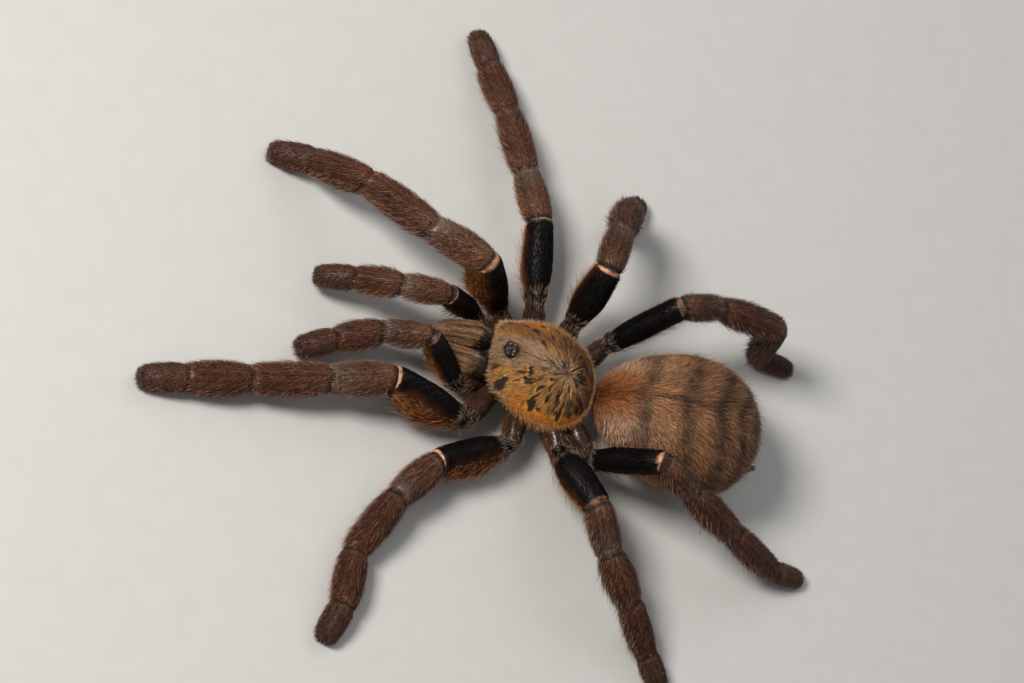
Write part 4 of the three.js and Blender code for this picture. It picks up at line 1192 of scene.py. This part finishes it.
def plate_normals(x, y):
    """Upward unit normals of the plate from its slopes."""
    step = 0.25
    slope_x = (plate_height(x + step, y) - plate_height(x - step, y)) / (2 * step)
    slope_y = (plate_height(x, y + step) - plate_height(x, y - step)) / (2 * step)
    slopes = np.clip(np.stack([-slope_x, -slope_y], -1), -2.5, 2.5)
    return unit(np.column_stack([slopes, np.ones(len(x))]))


def plate_unwrap(x, y):
    """The plate seen flat from above, as its place in the unit square."""
    return np.stack([x / CARAPACE_LENGTH, y / CARAPACE_WIDTH], -1) * 0.9 + 0.5


def plate_hairs(count, form, length, width, lift, curl, front=False):
    """Flat hairs rayed from the fovea, over the whole plate or along its front edge alone. They are few
    where the plate is dark and in the fovea, and none grow on the eyes' mound."""
    spread = even_spread(count) - 0.5
    x, y = spread[:, 0] * CARAPACE_LENGTH, spread[:, 1] * CARAPACE_WIDTH
    if front:
        x, y = 9.3 + 2.0 * spread[:, 0], spread[:, 1] * 11
    half = np.interp(x, HALF_OUTLINE[:, 0], HALF_OUTLINE[:, 1])
    mound = np.hypot((x - EYE_MOUND[0]) / 1.12, y / 1.35) < 1
    bare = dark_marks(x, y) * ((x < 8.8) | (np.abs(y) > 4))
    kept = (np.abs(y) < half * 0.97) & ~mound & (RANDOM.random(count) > bare)
    kept &= RANDOM.random(count) < 0.35 + np.hypot(x - FOVEA[0], y) / 2.5
    x, y = x[kept], y[kept]
    root = np.stack([x, y, plate_height(x, y) + 0.03], -1)
    away = np.stack([x - FOVEA[0], y, np.zeros(len(x))], -1)
    reach = np.linalg.norm(away, axis=1)
    sway = 0.35 * noise(root, 0.5, 71) + RANDOM.normal(0, 0.16, len(x))
    flow = swung(unit(away), np.array([0, 0, 1.0]), sway)
    lengths = length * RANDOM.uniform(0.7, 1.2, len(x)) * (0.55 + 0.45 * ease(reach / 3))
    tint = plate_tint(root + flow * (0.55 * lengths)[:, None], 0.97)
    tint = tint * (1 + 0.22 * noise(root, 2.2, 72) + RANDOM.normal(0, 0.22, len(x)))[:, None]
    tint = mix(tint, BLACK_TINT, 0.8 * (RANDOM.random(len(x)) < 0.10))
    return hairs(root, plate_normals(x, y), flow, lengths, lift, width, curl, np.maximum(tint, 0.003),
                 plate_unwrap(x, y), form)


def margin_hairs(count, length, lift, tone, level):
    """The fringe: hairs that stand out from the margin all round, shorter over the jaws, from a level
    above the plate's own."""
    edge = outline_ring(count)
    edge = edge + RANDOM.normal(0, 0.05, edge.shape)
    x, y = edge.T * RANDOM.uniform(0.93, 0.985, count)
    root = np.stack([x, y, plate_height(x, y) + level], -1)
    out = unit(np.column_stack([x * 0.8 + 0.6, y, np.zeros(count)]))
    back = ease((6 - x) / 6)
    drawn_back = np.array([-0.5, 0, -0.25]) * back[:, None]
    flow = unit(out + RANDOM.normal(0, 0.5, (count, 3)) * (1, 1, 0.6) + drawn_back)
    up = np.tile([0, 0, 1.0], (count, 1))
    tint = mix(FRINGE_TINT, ORANGE_TINT, RANDOM.uniform(0.2, 1, count) * ease((y - 2) / 3) * ease(6 - x))
    tint = tint * (tone * (1 + RANDOM.normal(0, 0.3, count)))[:, None]
    lengths = length * RANDOM.uniform(0.5, 1.3, count) * (0.6 + 0.4 * back)
    lifts = lift * RANDOM.uniform(-0.6, 1.8, count)
    return hairs(root, up, flow, lengths, lifts, 0.05, 0.3, np.maximum(tint, 0.003), plate_unwrap(x, y))


PLATE_PILE = tinted_material("golden pile", 0.42, 1200.0, 0.25, 0, Specular_IOR_Level=0.5)
coat("coat_carapace", [
    plate_hairs(10500, SPIKE, 1.0, 0.08, 0.12, 0),
    plate_hairs(5600, LOCK, 1.4, 0.065, 0.24, 0.28),
    plate_hairs(1600, LOCK, 0.9, 0.07, 0.34, 0.30, True),
    margin_hairs(1700, 1.3, 0.20, 1.0, -0.15),
    margin_hairs(1500, 1.7, 0.0, 0.9, -0.5),
], PLATE_PILE, "shield")

# ---- The eyes -----------------------------------------------------------------------------------------
# Eight eyes stand close together on a low dark mound behind the front of the carapace. Two round dark ones
# look up and forward. The others are smaller, oval and paler. Each is a glossy bead in a raised socket.
EYES = [[0.55, 0.42, 0.42], [0.55, 1.15, 0.30], [-0.3, 0.62, 0.24], [-0.35, 1.15, 0.24]]
EYE_TINTS = srgb(*[[10, 9, 9], [46, 40, 36], [88, 78, 66], [64, 56, 48]])
EYE_PLACES = np.array([[x, side * y, radius] for x, y, radius in EYES for side in (-1, 1)])
MOUND_ROWS, MOUND_COLUMNS, MOUND_TINT = 56, 96, srgb(26, 14, 11)
EYE_ROWS, EYE_COLUMNS = 14, 24


def ball_points(angle, turn):
    """Points of a unit ball by angle down from its top and turn."""
    return np.stack([np.sin(angle) * np.cos(turn), np.sin(angle) * np.sin(turn), np.cos(angle)], -1)


def mound_surface(angle, turn):
    """The mound: an ellipsoid by angle down from its top and turn, with a bell-shaped collar round each
    eye, sunk where the eye sits, and fine wrinkles between."""
    points = ball_points(angle, turn) * (EYE_MOUND_SIZE - 0.12)
    lift = 0.03 * noise(points, 3.0, 81)
    for eye_x, eye_y, radius in EYE_PLACES:
        off = np.hypot(points[:, 0] - eye_x, points[:, 1] - eye_y)
        lift += 0.07 * bell(off - radius * 1.05, 0.12) * (angle < 1.6)
    return EYE_MOUND + points * (1 + lift[:, None])


def make_mound():
    """The mound as a closed tube from top to bottom."""
    angle, turn = ring_grid(np.linspace(0.03, np.pi - 0.3, MOUND_ROWS), MOUND_COLUMNS)
    tips = mound_surface(np.array([0.0, np.pi - 0.29]), np.zeros(2))
    points = np.vstack([mound_surface(angle, -turn), tips])
    tint = mix(MOUND_TINT, BROWN_TINT, 0.3 * ease(0.4 + noise(points, 1.5, 82)))
    return new_mesh("eye_mound_skin", points, tube_triangles(MOUND_ROWS, MOUND_COLUMNS), tint)


def make_eyes():
    """Eight beads joined in one piece, each a ball, the small ones stretched a little lengthwise."""
    angle, turn = ring_grid(np.linspace(0, np.pi, EYE_ROWS + 2)[1:-1], EYE_COLUMNS)
    ball = np.vstack([ball_points(angle, -turn), [[0, 0, 1], [0, 0, -1]]])
    height = EYE_MOUND_SIZE[2] * np.sqrt(1 - ((EYE_PLACES[:, :2] / EYE_MOUND_SIZE[:2]) ** 2).sum(1))
    stretch = np.where(EYE_PLACES[:, 2:] < 0.4, (1.15, 0.85, 0.9), (1.0, 1.0, 1.0))
    centres = EYE_MOUND + np.column_stack([EYE_PLACES[:, :2], height * 0.9])
    points = centres[:, None] + ball[None] * EYE_PLACES[:, None, 2:] * stretch[:, None]
    starts = np.arange(len(EYE_PLACES))[:, None, None] * len(ball)
    faces = (starts + tube_triangles(EYE_ROWS, EYE_COLUMNS)).reshape(-1, 3)
    return new_mesh("eyes", points.reshape(-1, 3), faces, np.repeat(EYE_TINTS, 2 * len(ball), 0))


mound = make_mound()
mound.data.materials.append(HORN)
eyes = make_eyes()
eyes.data.materials.append(
    tinted_material("eye glass", 0.06, 3000.0, 0.3, 0, Coat_Weight=1.0, Coat_Roughness=0.02))
for piece in (mound, eyes):
    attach(piece, "root")
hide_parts("eye_mound")

# ---- The jaws' coat and the fangs ---------------------------------------------------------------------
# Short hair lies forward on the jaws' bases between dark stripes, with longer reddish hair along the groove
# below. The fangs are curved glossy black horn that folds back under the jaws.
FANG_STATIONS = [[18.3, 2.0, 3.4, 0.85, 0.85], [18.15, 2.0, 2.5, 0.82, 0.82],
                 [17.6, 1.98, 1.75, 0.74, 0.74], [16.7, 1.9, 1.3, 0.62, 0.62],
                 [15.2, 1.75, 1.15, 0.45, 0.45], [14.1, 1.66, 1.35, 0.28, 0.28],
                 [13.3, 1.6, 1.65, 0.1, 0.1]]
FANG_DARK, FANG_TIP, FANG_TIP_START, FANG_TIP_END = (0.012, 0.008, 0.007), (0.10, 0.022, 0.010), 15.5, 13.4
JAW_START, JAW_LENGTH, SILVER_TINT, BRUSH_TINT = 10.9, 8.7, srgb(168, 144, 120), srgb(150, 84, 52)


def jaw_hairs(side, count, form, length, width, lift, curl, below=False):
    """Hairs lying forward on one jaw: all round it, or below alone, where a longer reddish brush stands
    each side of the fang groove. Few grow on the black base."""
    spread = even_spread(count)
    rows = smooth_path(JAW_STATIONS, 120)
    x = JAW_START + JAW_LENGTH * spread[:, 0]
    angle = 2 * np.pi * spread[:, 1] if not below else -np.pi / 2 + RANDOM.uniform(-0.9, 0.9, count)
    middle, height, wide, tall = (np.interp(x, rows[:, 0], rows[:, column]) for column in (1, 2, 3, 4))
    wide, tall = wide - JAW_COAT, tall - JAW_COAT
    root = np.stack([x, side * (middle + wide * np.cos(angle)), height + tall * np.sin(angle)], 1)
    forward = 0.12 + 0.5 * ease((x - 18) / 2)
    normal = unit(np.stack([forward, side * np.cos(angle) / wide, np.sin(angle) / tall], 1))
    flow = np.array([1.0, 0, -0.12]) + RANDOM.normal(0, 0.12, (count, 3))
    if below:
        flow[:, 2] -= 0.9
    tint = jaw_tint(root) * (1.05 + 0.2 * noise(root, 2.0, 91) + RANDOM.normal(0, 0.3, count))[:, None]
    tint = mix(tint, SILVER_TINT, 0.55 * (RANDOM.random(count) < 0.22))
    if below:
        tint = mix(tint, BRUSH_TINT, 0.6)
    bare = ease((12.9 + 0.4 * np.cos(3 * angle) - x) / 0.5) * (not below)
    kept = RANDOM.random(count) > 0.85 * bare
    place = np.stack([spread[:, 0], (angle / (2 * np.pi)) % 1], 1) * UNWRAP_SHARE + UNWRAP_MARGIN
    lengths = length * RANDOM.uniform(0.7, 1.2, count)
    made = hairs(root, normal, flow, lengths, lift, width, curl, np.maximum(tint, 0.003), place, form)
    return {"form": form, **{key: made[key][kept] for key in ("points", "tint", "place")}}


def fang_material(name):
    """Glossy black horn that turns dark red towards the tip, by the place forward."""
    material, tree, shader = new_material(name, 0.12, Coat_Weight=0.6)
    place = add_node(tree, "ShaderNodeTexCoord")
    split = add_node(tree, "ShaderNodeSeparateXYZ")
    tip = add_node(tree, "ShaderNodeMapRange")
    tip.inputs["From Min"].default_value = to_frame([[FANG_TIP_START, 0, 0]])[0, 0]
    tip.inputs["From Max"].default_value = to_frame([[FANG_TIP_END, 0, 0]])[0, 0]
    tree.links.new(place.outputs["Object"], split.inputs["Vector"])
    tree.links.new(split.outputs["X"], tip.inputs["Value"])
    colour = colour_ramp(tree, tip.outputs["Result"], FANG_DARK, FANG_TIP)
    tree.links.new(colour, shader.inputs["Base Color"])
    return material


JAW_PILE = tinted_material("jaw pile", 0.4, 1200.0, 0.25, 0, Specular_IOR_Level=0.5)
for side, side_name in ((1, "left"), (-1, "right")):
    coat(f"coat_jaw_{side_name}", [
        jaw_hairs(side, 3300, SPIKE, 0.9, 0.09, 0.24, 0),
        jaw_hairs(side, 2400, LOCK, 1.6, 0.08, 0.55, 0.45),
        jaw_hairs(side, 900, LOCK, 1.7, 0.08, 0.6, 0.5, below=True),
    ], JAW_PILE, "jaw")
    fang = new_mesh(f"fang_horn_{side_name}", *mirrored(path_tube(FANG_STATIONS, 48, 28), side))
    fang.data.materials.append(fang_material(f"fang {side_name}"))
    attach(fang, "root")
    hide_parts(f"fang_{side_name}")

# ---- The coat of the underside, waist and spinnerets --------------------------------------------------
# Short brown hair covers the breast plate and points backward, and finer tan hair the spinnerets.
UNDER_PILE = tinted_material("underside pile", 0.6, 1200.0, 0.25, 0, Specular_IOR_Level=0.3)
# The breast's outline by the climb from its middle (0) up its side (1): climb, share and height.
BREAST_CLIMB = np.array([[0, 0.03, 2.86], [0.45, 0.50, 3.1], [0.6, 0.64, 3.7], [0.8, 0.78, 5.2],
                         [1.0, 0.80, 6.6]])
BREAST_PLACES = 400


def breast_hairs(count):
    """Hairs under the breast plate and up its sides: roots on the outline shrunk by the climb's share."""
    spread = even_spread(count)
    climb = spread[:, 1] ** 0.8
    share, height = (np.interp(climb, BREAST_CLIMB[:, 0], BREAST_CLIMB[:, column]) for column in (1, 2))
    edge = outline_ring(BREAST_PLACES)[(spread[:, 0] * BREAST_PLACES).astype(int) % BREAST_PLACES]
    root = np.column_stack([edge[:, 0] * share - BREAST_BACK, edge[:, 1] * share, height])
    outward = unit(np.column_stack([edge, np.zeros(count)])) * ease((climb - 0.40) / 0.2)[:, None]
    normal = unit(outward + np.array([0, 0, -1.0]) * (1.1 - ease((climb - 0.45) / 0.25))[:, None])
    flow = np.array([-1.0, 0, -0.15]) + 0.5 * outward + RANDOM.normal(0, 0.2, (count, 3))
    tint = BREAST_TINT * (1 + RANDOM.normal(0, 0.2, count))[:, None]
    lengths = RANDOM.uniform(0.6, 1.2, count)
    return hairs(root, normal, flow, lengths, 0.3, 0.09, 0.3, np.maximum(tint, 0.003),
                 spread * UNWRAP_SHARE + UNWRAP_MARGIN)


def tail_hairs(side, count):
    """Hairs along one spinneret, lying towards its tip, each side on its own half of the unwrap."""
    spread = even_spread(count)
    rows = smooth_path(SPINNERET_STATIONS, 80)
    along = unit(np.gradient(rows[:, :3], axis=0))
    row = (8 + spread[:, 0] * 66).astype(int)
    turn = spread[:, 1] * 2 * np.pi
    up = unit(np.array([0, 0, 1.0]) - along * along[:, 2:])[row]
    across = np.cross(up, along[row])
    normal = across * np.cos(turn)[:, None] + up * np.sin(turn)[:, None]
    root = rows[row, :3] + normal * (rows[row, 3:4] - SPINNERET_COAT)
    tint = SPINNERET_TINT * (1.1 + RANDOM.normal(0, 0.2, count))[:, None]
    flow = along[row] + RANDOM.normal(0, 0.15, (count, 3))
    flip = np.array([1, side, 1])
    lengths = RANDOM.uniform(0.6, 1.3, count)
    place = spread * (0.48, UNWRAP_SHARE) + (0.26 + 0.25 * side, UNWRAP_MARGIN)
    return hairs(root * flip, normal * flip, flow * flip, lengths, 0.3, 0.08, 0.3,
                 np.maximum(tint, 0.003), place)


coat("coat_underside", [breast_hairs(4400)], UNDER_PILE, "underside")
coat("coat_spinnerets", [tail_hairs(side, 1100) for side in (1, -1)], UNDER_PILE, "underside")

# ---- The feet -----------------------------------------------------------------------------------------
# Dense short pads of pinkish-grey hair, the scopulae, edge the soles of the last segments. At each toe a
# split tuft spreads round two small curved claws.
PAD_TINT, TUFT_TINT = srgb(150, 112, 100), srgb(96, 84, 80)
FOOT_PILE = tinted_material("foot pile", 0.65, 1200.0, 0.25, 0, Specular_IOR_Level=0.25)
# A claw's distance ahead of its base, rise and thickness.
CLAW_CURVE = [[-0.5, 0.0, 0.17], [0.05, 0.12, 0.16], [0.45, 0.05, 0.12], [0.72, -0.25, 0.08],
              [0.8, -0.55, 0.02]]


def pad_hairs(limb, count, start, end):
    """Short hairs along both lower edges of the last segments, pointing down and out, on the first half
    of the foot's unwrap."""
    spread = even_spread(count)
    s = start + (end - start) * spread[:, 0]
    side = np.where(spread[:, 1] < 0.5, 1, -1)
    turn = -np.pi / 2 + side * RANDOM.uniform(0.35, 1.25, count)
    root, normal = limb_surface(limb, s, turn)
    along = along_limb(limb, "along", s)
    flow = along * 0.8 + normal * 0.4 - np.array([0, 0, 0.3]) + RANDOM.normal(0, 0.12, (count, 3))
    tint = PAD_TINT * (1 + RANDOM.normal(0, 0.18, count))[:, None]
    lengths = RANDOM.uniform(0.5, 0.85, count)
    return hairs(root, normal, flow, lengths, 0.55, 0.08, 0.1, np.maximum(tint, 0.003),
                 spread * (0.48, UNWRAP_SHARE) + UNWRAP_MARGIN, SPIKE)


def toe_tufts(limb, count):
    """Two spreading bundles over the toe's tip, one each side of the claws, on the second half of the
    foot's unwrap."""
    spread = even_spread(count)
    toe = limb["marks"][-1]
    s = toe - TOE_INSET - 0.9 * spread[:, 0] ** 0.7
    side = np.where(spread[:, 1] < 0.5, 1, -1)
    turn = np.pi / 2 - side * (0.35 + 1.75 * ((spread[:, 1] * 2) % 1))
    root, normal = limb_surface(limb, s, turn)
    along, across = along_limb(limb, "along", s), along_limb(limb, "side", s)
    flow = along + across * side[:, None] * 0.35 - np.array([0, 0, 0.25])
    flow += RANDOM.normal(0, 0.14, (count, 3))
    tint = TUFT_TINT * (1 + RANDOM.normal(0, 0.2, count))[:, None]
    lengths = RANDOM.uniform(0.55, 1.0, count)
    return hairs(root, normal, flow, lengths, 0.25, 0.085, 0.1, np.maximum(tint, 0.003),
                 spread * (0.48, UNWRAP_SHARE) + (0.51, UNWRAP_MARGIN))


def claw_shape(limb, side):
    """One claw: a thin horn that rises a little from the toe, then hooks down to a point."""
    toe = np.array([limb["marks"][-1] - TOE_INSET])
    centre, along, across = (along_limb(limb, key, toe)[0] for key in ("centre", "along", "side"))
    flat = unit(along * (1, 1, 0))
    tip = centre - flat * 0.3 + across * side * 0.28 + np.array([0, 0, 0.25])
    stations = []
    for ahead, rise, thick in CLAW_CURVE:
        x, y, z = tip + flat * ahead + np.array([0, 0, rise])
        stations.append([x, y, max(z, thick + 0.06), thick, thick])
    return path_tube(stations, 18, 10)


def joined(shapes):
    """Several shapes' points and faces as one."""
    starts = np.cumsum([0] + [len(points) for points, _ in shapes[:-1]])
    faces = [triangles + start for (_, triangles), start in zip(shapes, starts)]
    return np.vstack([points for points, _ in shapes]), np.vstack(faces)


for limb_name, limb_shape in LIMBS.items():
    last, toe = limb_shape["marks"][-2], limb_shape["marks"][-1] - TOE_INSET
    pads = [pad_hairs(limb_shape, 1250, last - 4.0, toe - 0.4), toe_tufts(limb_shape, 750)]
    coat(f"coat_{limb_name}_foot", pads, FOOT_PILE, "leg_coat")
claws = new_mesh("claws", *joined([claw_shape(limb, side) for limb in LIMBS.values() for side in (1, -1)]))
claws.data.materials.append(grained_material("claw horn", 0.2, 2500.0, 2.0, dark=(0.015, 0.010, 0.008),
                                             light=(0.05, 0.028, 0.018), Coat_Weight=0.5))
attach(claws, "root")
